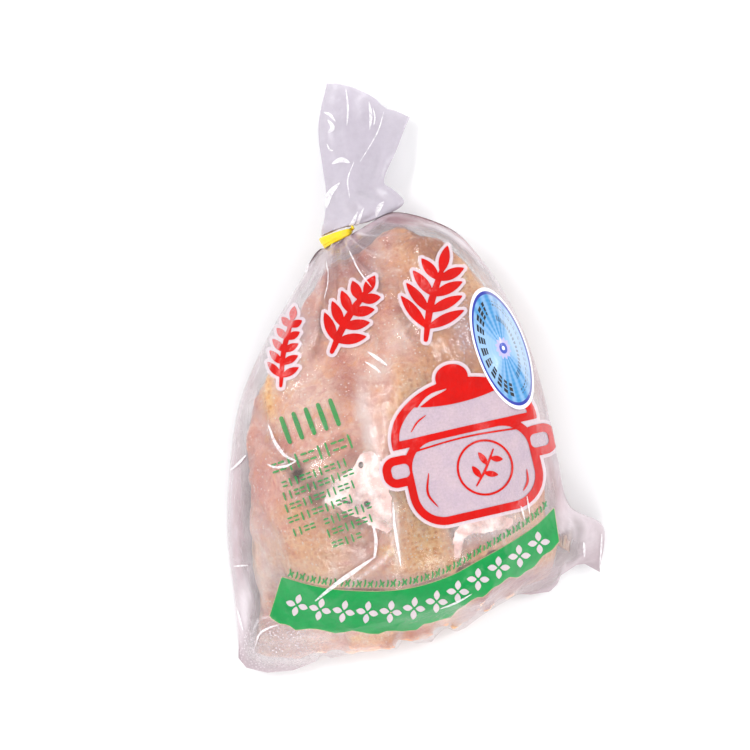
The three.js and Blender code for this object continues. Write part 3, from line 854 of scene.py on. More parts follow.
WHITE_FAT = [
    (-24, -90, 5, 60, 3, 0.6), (-22, 90, 14, 16, 30, 0.5), (45, -98, 13, 15, 0, 1.1),
    (75, -94, 24, 14, 15, 0.75), (-140, -215, 44, 24, 0, 0.7), (-95, -140, 44, 10, -10, 0.2),
    (-156, -140, 16, 44, 0, 0.5), (-52, 8, 9, 40, 8, 0.75), (-40, 60, 16, 12, 30, 0.5),
    (-45, -132, 22, 12, 20, 0.2), (-120, 70, 24, 40, 10, 0.35), (-60, -60, 50, 60, 0, 0.2),
]
CRUMPLED_SKIN = [
    (-165, -35, 34, 34, 0, 1.0), (-110, -55, 30, 26, 0, 0.6), (-100, -190, 120, 22, 0, 0.6),
    (70, -105, 60, 25, 20, 0.5), (-70, -90, 60, 30, 0, 0.4),
]
# Hollows of the skin on the print grid, pressed in and painted with dark shade: middle, half width, half
# length, turn, strength.
SHADED_HOLLOWS = [
    (-124, -44, 7, 9, 30, 1.1), (-112, -56, 10, 6, 30, 0.5), (-104, -70, 7, 8, 0, 0.5),
    (-59, -35, 2.2, 2.6, 0, 0.6), (-53, -74, 3.4, 3.8, 0, 0.8), (-72, -71, 6, 2.6, 10, 0.7),
    (-131, -30, 6, 3, 30, 0.3), (-72, -90, 18, 3, -18, 0.4), (-100, -54, 6, 9, -40, 0.35),
]


# ------------------------------------------------------------------ the film

def neck_rib(side):
    """The rib at the lower (-1) or upper (1) end of the neck."""
    t = math.radians(NECK["tilt"])
    x = NECK["x"] - side * NECK["length"] / 2 * math.sin(t)
    y = NECK["y"] + side * NECK["length"] / 2 * math.cos(t)
    dx, dy = NECK["half_width"] * math.cos(t), NECK["half_width"] * math.sin(t)
    return ((x - dx, y - dy, NECK["z"]), (x + dx, y + dy, NECK["z"]), 0, NECK["half_height"])


def rib_grid(keys, steps, columns, edge=((0, 0), (1, 0))):
    """Points of a panel, rib by rib, from its key ribs, with the ribs' numbers. The first
    rib follows `edge`, which fades out towards the second."""
    at = np.linspace(0, len(keys) - 1, (len(keys) - 1) * steps + 1)
    left = smooth_line([k[0] for k in keys], at)
    right = smooth_line([k[1] for k in keys], at)
    arch = smooth_line([(k[2], 0, i) for i, k in enumerate(keys)], at)[:, 0]
    share = (1 - np.cos(np.linspace(0, math.pi, columns + 1))) / 2
    across = right - left
    across[:, 2] = 0
    across /= np.linalg.norm(across, axis=1, keepdims=True)
    forwards = np.stack([-across[:, 1], across[:, 0], np.zeros(len(at))], 1)
    fade = np.maximum(0, 1 - at) ** 2
    bow = arch[:, None] * np.sin(math.pi * share) + fade[:, None] * np.interp(share, *zip(*edge))
    bow = bow[:, :, None] * forwards[:, None, :]
    return left[:, None] + (right - left)[:, None] * share[None, :, None] + bow, at, share


def bird_reach(tree, grid, side):
    """How high (side 1) or low (-1) the bird reaches at each point of a grid."""
    reach = np.full(grid.shape[:2], -side * 1e3)
    for i in np.ndindex(*grid.shape[:2]):
        x, y = grid[i][:2]
        hit = tree.ray_cast(Vector((x, y, side * 300.0)), Vector((0, 0, -side)))[0]
        if hit is not None:
            reach[i] = hit.z
    return reach


def relax(z, reach, side, passes, sag, floor):
    """Pulls a panel's heights tight over the bird, keeping its four edges."""
    for _ in range(passes):
        z[1:-1, 1:-1] = (z[:-2, 1:-1] + z[2:, 1:-1] + z[1:-1, :-2] + z[1:-1, 2:]) / 4 - sag
        inner = z[1:-1, 1:-1]
        if side > 0:
            np.maximum(inner, reach[1:-1, 1:-1], out=inner)
        else:
            np.minimum(inner, reach[1:-1, 1:-1], out=inner)
            np.maximum(inner, floor, out=inner)
    return z


def drape(grid, reach, side, sag, floor=0.3):
    """Heights of a panel drawn over the bird, worked out from coarse to fine."""
    z = grid[:, :, 2].copy()
    rows, columns = z.shape
    for stride, passes in ((8, 260), (4, 160), (2, 90), (1, 50)):
        r, c = np.arange(0, rows, stride), np.arange(0, columns, stride)
        part = z[np.ix_(r, c)]
        part = relax(part, reach[np.ix_(r, c)], side, passes, sag * stride, floor)
        full = np.array([np.interp(np.arange(columns), c, row) for row in part])
        full = np.array([np.interp(np.arange(rows), r, col) for col in full.T]).T
        z[1:-1, 1:-1] = full[1:-1, 1:-1]
    return z


# Creases of the film on the print grid, drawn as a sharp line through their points, with
# the ridge's height and half width in millimetres and how white the line shows, which is partly the film's
# own whitening and partly painted highlight.
CREASES = [
    ([(-152, 7), (-147, -10), (-138, -21), (-130, -25)], 1.6, 1.0, 0.9),
    ([(-145, -32), (-136, -33), (-124, -25)], 1.2, 0.8, 0.7),
    ([(-35, -100), (-27, -108), (-33, -126), (-60, -148), (-86, -170)], 1.4, 1.1, 0.8),
    ([(-25, -70), (-22, -100), (-24, -130)], 1.0, 1.4, 0.4),
    ([(-167, -202), (-161, -190), (-148, -187)], 1.2, 0.7, 0.8),
    ([(-188, -132), (-177, -131)], 1.0, 0.7, 0.8),
    ([(-192, 38), (-178, 44), (-150, 20)], 0.8, 1.2, 0.2),
    ([(-45, 215), (-5, 216), (30, 205), (60, 180), (80, 155)], 2.0, 2.6, 0.35),
    ([(-20, 205), (10, 204), (40, 188), (66, 160)], 1.6, 2.0, 0.25),
    ([(-78, 182), (-70, 150), (-58, 110), (-45, 85)], 1.5, 1.4, 0.15),
    ([(-92, 178), (-98, 150), (-104, 120)], 1.2, 1.2, 0.15),
    ([(-86, 186), (-88, 160), (-87, 132)], 1.4, 0.9, 0.1),
    ([(-80, 186), (-76, 160), (-64, 132)], 1.5, 1.0, 0.25),
    ([(-76, 190), (-64, 168), (-44, 150)], 1.5, 1.0, 0.3),
    ([(-72, 194), (-54, 180), (-26, 170)], 1.4, 1.0, 0.3),
    ([(-70, 198), (-48, 194), (-14, 196)], 1.4, 1.1, 0.35),
    ([(-96, 176), (-108, 150), (-122, 128)], 1.2, 1.0, 0.3),
    ([(-100, 178), (-118, 150), (-136, 118)], 1.2, 1.0, 0.25),
    ([(-30, 165), (-8, 120), (0, 95)], 1.0, 1.6, 0.15),
    ([(0, 130), (-10, 105), (-25, 98)], 0.8, 0.8, 0.5),
    ([(-22, 100), (-14, 92), (-6, 90)], 0.9, 0.8, 0.6),
    ([(60, -145), (80, -130), (104, -118)], 1.3, 1.2, 0.3),
    ([(82, -100), (84, -120), (80, -140)], 0.8, 0.8, 0.5),
    ([(20, -166), (40, -160), (62, -150)], 1.2, 1.2, 0.4),
    ([(148, -70), (150, -95), (146, -120)], 0.8, 0.8, 0.4),
    ([(124, -20), (130, -60), (140, -90)], 1.0, 1.6, 0.15),
]

# Frost and ice under the film, on the print grid.
FROST = [
    (44, 98, 10, 26, 14, 1.2), (42, 120, 10, 12, 0, 0.9), (60, -98, 34, 18, 15, 0.7),
    (-140, -214, 46, 26, 0, 1.0), (95, -82, 20, 24, -20, 0.5), (-45, 150, 10, 16, 0, 0.4),
    (104, -120, 16, 12, 30, 0.5),
]


# Where a flat facet of the film throws back the light, on the print grid.
GLARE = [
    (44, -98, 9, 11, 0, 0.4), (72, -94, 18, 9, 15, 0.2), (-52, 8, 7, 40, 8, 0.16),
    (-176, -178, 7, 30, -6, 0.3), (-95, 175, 8, 22, -10, 0.25), (-166, -100, 6, 12, 0, 0.35),
    (-60, -126, 12, 8, 20, 0.25), (-100, -66, 10, 6, 30, 0.1), (150, -96, 34, 30, 0, 0.26),
]

# Painted light on the milky film: a darker pink bounced from the meat behind it, on the print grid.
SKIN_BOUNCE = [
    (-170, 50, 14, 74, 22, 0.8), (-180, -60, 9, 90, 0, 0.6), (-78, 165, 22, 26, 0, 0.6),
    (-52, 184, 22, 10, -10, 0.7), (0, 210, 50, 9, -4, 1.0), (56, 184, 42, 9, -44, 1.0),
    (122, -40, 14, 60, 14, 0.8), (86, -160, 50, 16, 30, 1.0), (62, -178, 28, 14, 30, 1.0),
    (20, -208, 60, 9, 20, 0.7), (-60, 176, 8, 14, 20, 1.0), (-96, 152, 8, 14, -20, 0.7),
    (118, 60, 10, 60, 22, 0.8),
]

# Where damp air clouds the film over the skin, on the print grid.
AIR = [
    (-98, 165, 24, 34, -10, 0.5), (-62, 180, 28, 22, 0, 0.35), (-60, 150, 14, 26, 10, 0.25),
    (-10, 211, 46, 9, -4, 0.9), (46, 190, 44, 7, -40, 0.8), (80, 140, 30, 8, -62, 0.6),
    (-178, 60, 8, 70, 22, 0.55), (-184, -60, 8, 80, 0, 0.7), (-176, -160, 9, 60, 0, 0.6),
    (126, -20, 14, 70, 14, 0.85), (118, 90, 9, 50, 28, 0.6), (96, 20, 24, 24, 0, 0.35),
    (86, -160, 46, 14, 30, 0.75), (62, -178, 28, 13, 30, 0.9), (-30, -150, 60, 8, 0, 0.3),
    (120, -150, 40, 12, 30, 0.6), (60, -190, 50, 8, 28, 0.35), (-120, 110, 18, 22, 20, 0.45),
]


def line_distance(q, points):
    """Distance of points q from a line through the given points, and how far along."""
    p = np.asarray(points, float)
    all_far, all_along = np.full(len(q), 99.0), np.zeros(len(q))
    close = ((q > p.min(0) - 24) & (q < p.max(0) + 24)).all(1)
    q = q[close]
    best, along = np.full(len(q), 99.0), np.zeros(len(q))
    for i in range(len(p) - 1):
        d = p[i + 1] - p[i]
        t = np.clip(((q - p[i]) @ d) / max(d @ d, 1e-9), 0, 1)
        far = np.hypot(*(q - p[i] - t[:, None] * d).T)
        near = far < best
        best = np.where(near, far, best)
        along = np.where(near, (i + t) / (len(p) - 1), along)
    all_far[close], all_along[close] = best, along
    return all_far, all_along


def fat_flaps(q):
    """Signed distance to the flaps of white fat, with two small holes in the larger."""
    ragged = q + 2.2 * grain(np.pad(q, ((0, 0), (0, 1))), 7, 3, 14)[:, None]
    holes = joined(
        oval(q, (-59, -35), (2.6, 3.4)), oval(q, (-53, -74), (2.8, 3.2), 20),
        oval(q, (-74, -72), (7, 1.4), -12),
    )
    return joined(np.maximum(outline(ragged, FAT_FORM), -holes), outline(ragged, FAT_PATCH))


class CHICKEN_OT_film(bpy.types.Operator):
    """Adds the film bag, drawn over the bird, and its loose tail"""

    bl_idname = "chicken.add_film"
    bl_label = "Film bag"

    def execute(self, context):
        s = context.scene.chicken_film
        tree = surface(bpy.data.objects["bird"])
        grid, at, share = body_grid(s.steps, s.columns)
        rows, columns = grid.shape[:2]
        arc = np.sin(np.linspace(0, math.pi, columns))
        upper, lower, reach_up, reach_down = body_panels(grid, tree, s.clearance, s.sag)
        to_neck = (at[-1] - at)[:, None]
        near = np.clip(1 - to_neck / 3.2, 0, 1)
        wave = np.cos(2 * math.pi * 7 * np.arange(columns) / (columns - 1) + 1.2 * np.sin(3 * at)[:, None])
        pleats = 1.5 * near * (1 - near**6) * arc * wave
        flat = upper.reshape(-1, 3)
        q = on_sheet(flat)
        free = smoothstep(0.2, 4.0, (upper[:, :, 2] - reach_up).ravel())
        rise = np.zeros(len(q))
        white = np.zeros(len(q))
        for line, height, half_width, glow in CREASES:
            curve = smooth_line(line, np.linspace(0, len(line) - 1, 24))
            far, along = line_distance(q, curve)
            far = far * PRINT_PITCH / half_width
            ends = np.sin(math.pi * np.clip(along, 0.02, 0.98)) ** 0.5
            rise = np.maximum(rise, height * ends * np.exp(-far**1.3))
            white = np.maximum(white, glow * ends * np.exp(-(far * 2.2) ** 2))
        # Painted highlights where flat facets throw back the light.
        white = np.maximum(white, patches(q, GLARE))
        turned = flat * np.array([1.0, 0.45, 1.0])
        crinkles = 0.5 * ridges(turned, 11, 2, 6) + 0.35 * ridges(flat, 6, 2, 7)
        rise += crinkles * (0.35 + 0.9 * free) * s.crinkle
        edge = (np.minimum(share, 1 - share)[None, :] * 12).clip(0, 1) * np.minimum(1, at / 0.4)[:, None]
        lift = (rise.reshape(rows, columns) + pleats) * edge
        upper[:, :, 2] = np.maximum(upper[:, :, 2] + lift, reach_up)
        upper[-1, :, 2] = NECK["z"] + NECK["half_height"] * arc
        upper[:, :, 2] = np.maximum(upper[:, :, 2], lower[:, :, 2] + 0.25)
        upper[:, [0, -1]] = lower[:, [0, -1]]
        gap, under = (self.gap_to(tree, panel.reshape(-1, 3), s) for panel in (upper, lower))
        gap = gap * (1 - np.minimum(1, patches(q, SHADED_HOLLOWS)))
        gap = np.maximum(gap, patches(q + 4 * grain(flat, 10, 2, 15)[:, None], AIR))
        faces = np.vstack([grid_faces(rows, columns), grid_faces(rows, columns, rows * columns, True)])
        both = np.vstack([upper.reshape(-1, 3), lower.reshape(-1, 3)])
        bag = add_piece("film_bag", both, faces, film_material("blown_film", s.tint, s))
        frost = patches(q, FROST) * (0.6 + 0.4 * grain(flat, 6, 3, 8))
        set_field(bag, "gap", np.concatenate([gap, under]))
        set_field(bag, "crease_and_glare", np.concatenate([white, white * 0]))
        set_field(bag, "frost", np.concatenate([np.clip(frost, 0, 1), frost * 0]))
        skin_bounce = patches(q + 6 * grain(flat, 7, 3, 17)[:, None], SKIN_BOUNCE)
        set_field(bag, "skin_bounce", np.concatenate([skin_bounce, skin_bounce * 0]))
        join_edges(bag)
        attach(bag, "root")
        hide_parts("bag")
        cut_patch("fat_flaps", fat_flaps, 0.04, fat_material(context.scene.chicken_bird))
        self.add_tail(s, film_material("loose_film", s.tail_tint, s))
        return {"FINISHED"}

    @staticmethod
    def gap_to(tree, points, s):
        """How much air is between the film and the skin, 0 to 1."""
        far = np.array([tree.find_nearest(Vector(p))[3] for p in points])
        return smoothstep(s.clearance + 0.4, 6.0, far)

    def add_tail(self, s, material):
        """The loose film beyond the band, a collapsed tube in soft folds."""
        first = neck_rib(1)
        keys = [first, *TAIL_RIBS]
        grid, at, share = rib_grid([k[:3] for k in keys], 12, 96)
        mouth = smoothstep(len(keys) - 2.2, len(keys) - 1, at)[:, None]
        grid[:, :, 1] += np.interp(share, *zip(*TAIL_MOUTH)) * mouth
        half = smooth_line([(k[3], 0, i) for i, k in enumerate(keys)], at)[:, 0][:, None]
        arc = np.sin(np.linspace(0, math.pi, grid.shape[1]))[None, :]
        loose = np.minimum(1, at / 2.5)[:, None]
        drift = 0.7 * at[:, None] / len(TAIL_RIBS)
        fold = np.sin(2 * math.pi * (2 * share[None, :] + drift)) * arc
        flat = grid.reshape(-1, 3) * np.array([1.0, 0.35, 1.0])
        fine = (0.3 * ridges(flat, 14, 1, 9)).reshape(grid.shape[:2]) * arc * np.minimum(1, at)[:, None]
        layers = []
        for side, wrinkled in ((1, 1), (-1, 0.4)):
            sheet = grid.copy()
            sheet[:, :, 2] += loose * 1.1 * fold + side * np.maximum(0.12, half * arc) + fine * wrinkled
            layers.append(sheet.reshape(-1, 3))
        rows, columns = grid.shape[:2]
        faces = np.vstack([grid_faces(rows, columns), grid_faces(rows, columns, rows * columns, True)])
        tail = add_piece("film_tail", np.vstack(layers), faces, material)
        count = rows * columns
        set_field(tail, "gap", np.full(2 * count, 0.8))
        glint = smoothstep(0.42, 0.5, fine.ravel()) * 0.3
        set_field(tail, "crease_and_glare", np.concatenate([glint, np.zeros(count)]))
        set_field(tail, "frost", np.zeros(2 * count))
        set_field(tail, "skin_bounce", np.zeros(2 * count))
        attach(tail, "root")
        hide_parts("bag")


def join_edges(obj):
    """Welds points that lie on each other, so the panels close into a bag."""
    bm = bmesh.new()
    bm.from_mesh(obj.data)
    bmesh.ops.remove_doubles(bm, verts=bm.verts, dist=0.02 * MM)
    bm.to_mesh(obj.data)
    bm.free()


# ------------------------------------------------------------------ the print

def stroke(q, points, width, ends=1.0):
    """Signed distance to a brush stroke; `ends` is its width at the tips as a share."""
    curve = smooth_line(points, np.linspace(0, len(points) - 1, 8 * len(points)))
    far, along = line_distance(q, curve)
    return far - width / 2 * (ends + (1 - ends) * np.sin(math.pi * along) ** 0.8)


def turned_from(q, middle, turn):
    """Points of the grid as seen from a middle, along axes that are turned by degrees."""
    t = math.radians(turn)
    x, y = (q - np.asarray(middle, float)).T
    return np.stack([x * math.cos(t) + y * math.sin(t), y * math.cos(t) - x * math.sin(t)], 1)


def oval(q, middle, half, turn=0):
    """Signed distance to an oval."""
    p = turned_from(q, middle, turn)
    k = np.hypot(*(p / half).T)
    steep = np.hypot(*(p / np.square(half)).T)
    return k * (k - 1) / np.maximum(steep, 1e-6)


def block(q, middle, half, corner, turn=0):
    """Signed distance to a rectangle with round corners."""
    e = np.abs(turned_from(q, middle, turn)) - np.asarray(half, float) + corner
    return np.hypot(*np.maximum(e, 0).T) + np.minimum(e.max(1), 0) - corner


def joined(*shapes):
    """All the shapes as one."""
    return np.minimum.reduce(shapes)


def leaf(q, base, tip, width):
    """A pointed leaf from its base to its tip."""
    return stroke(q, [base, ((base[0] + tip[0]) / 2, (base[1] + tip[1]) / 2), tip], width, 0.1)


def sprigs(q):
    """The row of three herb sprigs along the top of the pack."""
    shapes = []
    for base, tip, pairs, length, width in SPRIGS:
        base, tip = np.array(base, float), np.array(tip, float)
        run = tip - base
        ahead = run / np.hypot(*run)
        side = np.array([-ahead[1], ahead[0]])
        shapes.append(stroke(q, [base, (base + tip) / 2 + side * 3, tip], width * 0.7, 0.6))
        for i in range(pairs):
            share = (i + 0.7) / pairs
            root = base + run * share * 0.92 + side * 3 * math.sin(math.pi * share)
            for hand in (1, -1):
                end = root + (ahead * 0.62 + side * hand * 0.78) * length * (1.1 - 0.45 * share)
                shapes.append(leaf(q, root, end, width))
        shapes.append(leaf(q, tip - run * 0.05, tip + ahead * length * 0.6, width))
    return joined(*shapes)


# Each sprig: its stem's foot and tip on the print grid, pairs of leaves, and the leaves'
# length and width.
SPRIGS = [
    ((-139, 44), (-127, 112), 5, 19, 7.5),
    ((-88, 78), (-54, 138), 4, 30, 10.5),
    ((6, 90), (22, 160), 4, 40, 10.5),
]
POT_MIDDLE = (47.0, -14.0)
POT_TURN = 13


def pot(q):
    """The cooking pot: all of it, its pale parts, a shine on the lid and its line work."""
    p = turned_from(q, POT_MIDDLE, POT_TURN)
    body = block(p, (0, -28), (63, 42), 30)
    lid = np.maximum(oval(p, (0, 14), (69, 48)), 14 - p[:, 1])
    cap = np.maximum(oval(p, (0, 14), (69, 48)), 42 - p[:, 1] + 0.0028 * p[:, 0] ** 2)
    knob = oval(p, (0, 68), (12, 9))
    handles = joined(block(p, (-71, -12), (13, 11), 9), block(p, (71, -12), (13, 11), 9))
    whole = joined(body, lid, knob, handles)
    pale = np.maximum(joined(body + 3.5, lid + 3.5, handles + 4), -cap)
    shine = stroke(p, [(-40, 46), (-26, 54), (-8, 58)], 4, 0.2)
    badge = np.abs(oval(p, (12, -27), (27, 27))) - 1.1
    twig = joined(
        stroke(p, [(0, -43), (12, -29), (24, -11)], 2.4, 0.6),
        leaf(p, (6, -36), (0, -23), 6), leaf(p, (10, -32), (23, -37), 6),
        leaf(p, (15, -25), (9, -11), 6), leaf(p, (19, -19), (31, -23), 6),
    )
    seams = joined(
        stroke(p, [(-58, 4), (0, 7), (58, 4)], 1.8),
        stroke(p, [(-44, -20), (-49, -40), (-42, -55)], 2.4, 0.3),
        stroke(p, [(-52, 24), (-44, 32), (-34, 37)], 1.8, 0.4),
        stroke(p, [(44, -58), (50, -50), (52, -38)], 2.4, 0.3),
    )
    return whole, pale, shine, joined(badge, twig, seams)


BAND_TOP = [
    (-138, -147), (-110, -155), (-80, -160), (-20, -160), (28, -147), (60, -130), (90, -113),
    (118, -94), (134, -78),
]
BAND_FOOT = [
    (-150, -187), (-147, -191), (-120, -198), (-70, -202), (-20, -201), (20, -190), (60, -166),
    (84, -152), (104, -142), (120, -131), (139, -111),
]


def band_line(share):
    """Middle of the green band at a share of its length, and the way across it."""
    edges = [smooth_line(line, np.linspace(0, len(line) - 1, 90)) for line in (BAND_TOP, BAND_FOOT)]
    ends = []
    for edge in edges:
        run = np.concatenate([[0], np.cumsum(np.hypot(*np.diff(edge, axis=0).T))])
        ends.append(np.array([np.interp(share * run[-1], run, edge[:, axis]) for axis in (0, 1)]))
    return (ends[0] + ends[1]) / 2, ends[0] - ends[1]


def band(q):
    """The green band along the foot of the pack, with edges that ripple with the film."""
    top = smooth_line(BAND_TOP, np.linspace(0, len(BAND_TOP) - 1, 40))
    foot = smooth_line(BAND_FOOT, np.linspace(0, len(BAND_FOOT) - 1, 60))
    foot[:, 1] += 1.6 * np.sin(foot[:, 0] / 6) + 1.2 * np.sin(foot[:, 0] / 2.7)
    return outline(q, np.vstack([top, foot[::-1]]))


def band_marks(q):
    """Small pale four-leaf flowers along the band."""
    shapes = []
    for i in range(12):
        middle, up = band_line(0.075 + 0.0765 * i)
        up = up / np.hypot(*up)
        side = np.array([up[1], -up[0]])
        for d in (up, -up, side, -side):
            shapes.append(leaf(q, middle + d * 1.8, middle + d * 11, 6))
    return joined(*shapes)


# Rows of green marks: foot of the first mark, how many, spacing, height and thickness.
MARK_ROWS = [
    (-130, -12, 5, 13, 25, 5.0),
    (-143, -45, 11, 8, 13, 2.4),
    (-134, -58, 11, 6.4, 7.5, 1.9),
    (-134, -70, 12, 6.4, 7.5, 1.9),
    (-132, -82, 12, 6.4, 7.5, 1.9),
    (-128, -94, 11, 6.4, 7.5, 1.9),
    (-92, -95, 8, 6.4, 7.5, 1.9),
    (-124, -106, 4, 6.4, 7, 1.9),
    (-90, -107, 8, 6.4, 7.5, 1.9),
    (-84, -118, 5, 6.4, 7, 1.9),
]


def mark_rows(q):
    """Rows of plain green bars and dashes on the left."""
    shapes = []
    c, s = math.cos(math.radians(20)), math.sin(math.radians(20))
    for row, (a, b, count, gap, tall, thick) in enumerate(MARK_ROWS):
        for i in range(count):
            foot = np.array([a + i * gap * c, b + i * gap * s])
            kind = (i * 7 + row * 3) % 4 if row else 0
            if kind < 2:
                bars = [((0, 0), (-s * tall, c * tall))]
            else:
                bars = []
                for h in (0.2 * tall, 0.75 * tall):
                    bars.append(((-0.3 * gap - s * h, h * c), (0.3 * gap - s * h, h * c + 0.6 * gap * s)))
            for near, far in bars:
                near, far = foot + near, foot + far
                shapes.append(stroke(q, [near, (near + far) / 2, far], thick, 0.85))
    return joined(*shapes)


def fine_row(q):
    """The fine row of short strokes just above the band."""
    shapes = []
    for i in range(74):
        middle, up = band_line(0.02 + 0.013 * i)
        up = up / np.hypot(*up)
        side = np.array([up[1], -up[0]])
        foot = middle + up * 25.5
        tall = (6.5, 4.5, 6, 5)[i % 4]
        lean = side * (1.2, -1.0, 0.6)[i % 3]
        shapes.append(stroke(q, [foot, foot + up * tall / 2 + lean, foot + up * tall], 1.8, 0.9))
    return joined(*shapes)


def label_area(q):
    """Signed distance to the label's oval as the view shows it."""
    return oval(q, (81, 84), (26.8, 63.4), 19.7)


# Sharp folds of the film and painted highlights, white lines drawn over the print: the line, its width and
# its tips' width.
FOLD_GLINT_LINES = [
    ([(-151, 5), (-144, -13), (-134, -26), (-123, -31)], 3.0, 0.3),
    ([(-123, -31), (-133, -36), (-145, -37), (-152, -34)], 2.4, 0.3),
    ([(-46, -97), (-43.5, -110), (-45, -127)], 3.4, 0.6),
    ([(-45, -127), (-63, -139), (-82, -152), (-104, -170)], 4.6, 0.25),
    ([(-164, -216), (-159, -203), (-150, -197), (-141, -194)], 2.0, 0.3),
    ([(-189, -41), (-180, -33), (-173, -25)], 2.4, 0.3),
    ([(-185, -136), (-171, -135)], 1.8, 0.4),
    ([(-27, -72), (-24, -105), (-19, -136)], 3.0, 0.2),
    ([(-52, 78), (-42, 71), (-32, 64)], 3.6, 0.2),
    ([(-55, 68), (-45, 62), (-38, 56)], 2.6, 0.2),
    ([(-113, 157), (-110.5, 166)], 2.6, 0.3),
    ([(100, -76), (104, -90)], 1.8, 0.3),
    ([(106, -66), (109, -84)], 1.6, 0.3),
    ([(164, -126), (163, -112)], 2.4, 0.4),
    ([(181, -104), (180, -138)], 1.8, 0.4),
    ([(20, -178), (36, -172), (52, -163)], 2.0, 0.2),
    ([(24, -214), (46, -206), (70, -192)], 1.8, 0.3),
    ([(-100, -228), (-80, -231), (-60, -226)], 2.2, 0.3),
    ([(-182, -178), (-176, -200)], 1.8, 0.3),
    ([(-93, 168), (-92, 150), (-96, 130)], 1.8, 0.2),
    ([(-70, 178), (-60, 158), (-48, 142)], 1.8, 0.2),
]


# The same on the tail, mostly painted highlights.
TAIL_FOLD_GLINTS = [
    ([(-97, 318), (-90, 315), (-84, 308)], 3.0, 0.1),
    ([(-92, 310), (-87, 302), (-92, 297)], 4.5, 0.1),
    ([(-74, 342), (-72, 322), (-73, 304)], 1.8, 0.2),
    ([(-51, 328), (-49, 314), (-50, 300)], 3.0, 0.15),
    ([(-47, 322), (-45, 312), (-46, 304)], 1.4, 0.2),
    ([(-88, 266), (-78, 270), (-70, 267)], 5.0, 0.1),
    ([(-93, 222), (-90, 236), (-80, 247)], 5.5, 0.1),
    ([(-93, 286), (-90, 280), (-86, 279)], 1.6, 0.2),
    ([(-78, 196), (-68, 206), (-62, 218)], 3.4, 0.1),
    ([(-66, 198), (-62, 208), (-56, 222)], 3.0, 0.1),
    ([(-44, 213), (-41, 222), (-36, 228)], 5.0, 0.1),
    ([(-36, 318), (-42, 298), (-60, 268)], 1.2, 0.2),
    ([(-66, 268), (-72, 250), (-70, 232)], 1.2, 0.2),
]


def fold_glint_lines(q, lines):
    """Signed distance to the sharp folds and painted highlights."""
    return joined(*(stroke(q, line, width, ends) for line, width, ends in lines))


def cut_patch(name, shape, lift, material, splits=2, sheet="film_bag"):
    """Cuts a printed shape out of the film's upper side, finer than the film's own
    facets, and lays it `lift` mm above them."""
    bag = bpy.data.objects[sheet]
    mesh = bag.data
    mesh.calc_loop_triangles()
    tris = np.empty(len(mesh.loop_triangles) * 3, int)
    mesh.loop_triangles.foreach_get("vertices", tris)
    tris = tris.reshape(-1, 3)
    points = layout_points(bag)
    normals = np.empty(len(points) * 3)
    mesh.vertex_normals.foreach_get("vector", normals)
    normals = normals.reshape(-1, 3)
    side = np.cross(points[tris[:, 1]] - points[tris[:, 0]], points[tris[:, 2]] - points[tris[:, 0]])
    tris = tris[side[:, 2] > 0]

    def field_at(points):
        q = on_sheet(points)
        return np.maximum(shape(q), -3 - label_area(q))

    value = field_at(points)
    for step in range(splits + 1):
        reach = 6.0 / (step + 1)
        tris = tris[value[tris].min(1) < reach]
        used, tris = np.unique(tris, return_inverse=True)
        tris = tris.reshape(-1, 3)
        points, normals, value = points[used], normals[used], value[used]
        if step == splits:
            break
        pairs = np.sort(np.vstack([tris[:, [0, 1]], tris[:, [1, 2]], tris[:, [2, 0]]]), axis=1)
        edges, number = np.unique(pairs, axis=0, return_inverse=True)
        number = number.reshape(3, -1) + len(points)
        points = np.vstack([points, points[edges].mean(1)])
        normals = np.vstack([normals, normals[edges].mean(1)])
        value = field_at(points)
        a, b, c = tris.T
        ab, bc, ca = number
        tris = np.vstack([np.stack(t, 1) for t in ((a, ab, ca), (ab, b, bc), (ca, bc, c), (ab, bc, ca))])
    lifted = points + normals / np.linalg.norm(normals, axis=1, keepdims=True) * lift
    verts, faces, number = [], [], {}

    def corner(key, position):
        if key not in number:
            number[key] = len(verts)
            verts.append(position)
        return number[key]

    for t in tris:
        f = value[t]
        if f.min() >= 0:
            continue
        face = []
        for i in range(3):
            a, b = int(t[i]), int(t[(i + 1) % 3])
            if value[a] < 0:
                face.append(corner(a, lifted[a]))
            if (value[a] < 0) != (value[b] < 0):
                low, high = min(a, b), max(a, b)
                cut = value[low] / (value[low] - value[high])
                face.append(corner((low, high), lifted[low] * (1 - cut) + lifted[high] * cut))
        faces.append(face)
    if not faces:
        raise RuntimeError(f"{name} has no place on the film")
    patch = add_piece(name, verts, faces, material)
    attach(patch, "root")
    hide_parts("bag")
    return patch


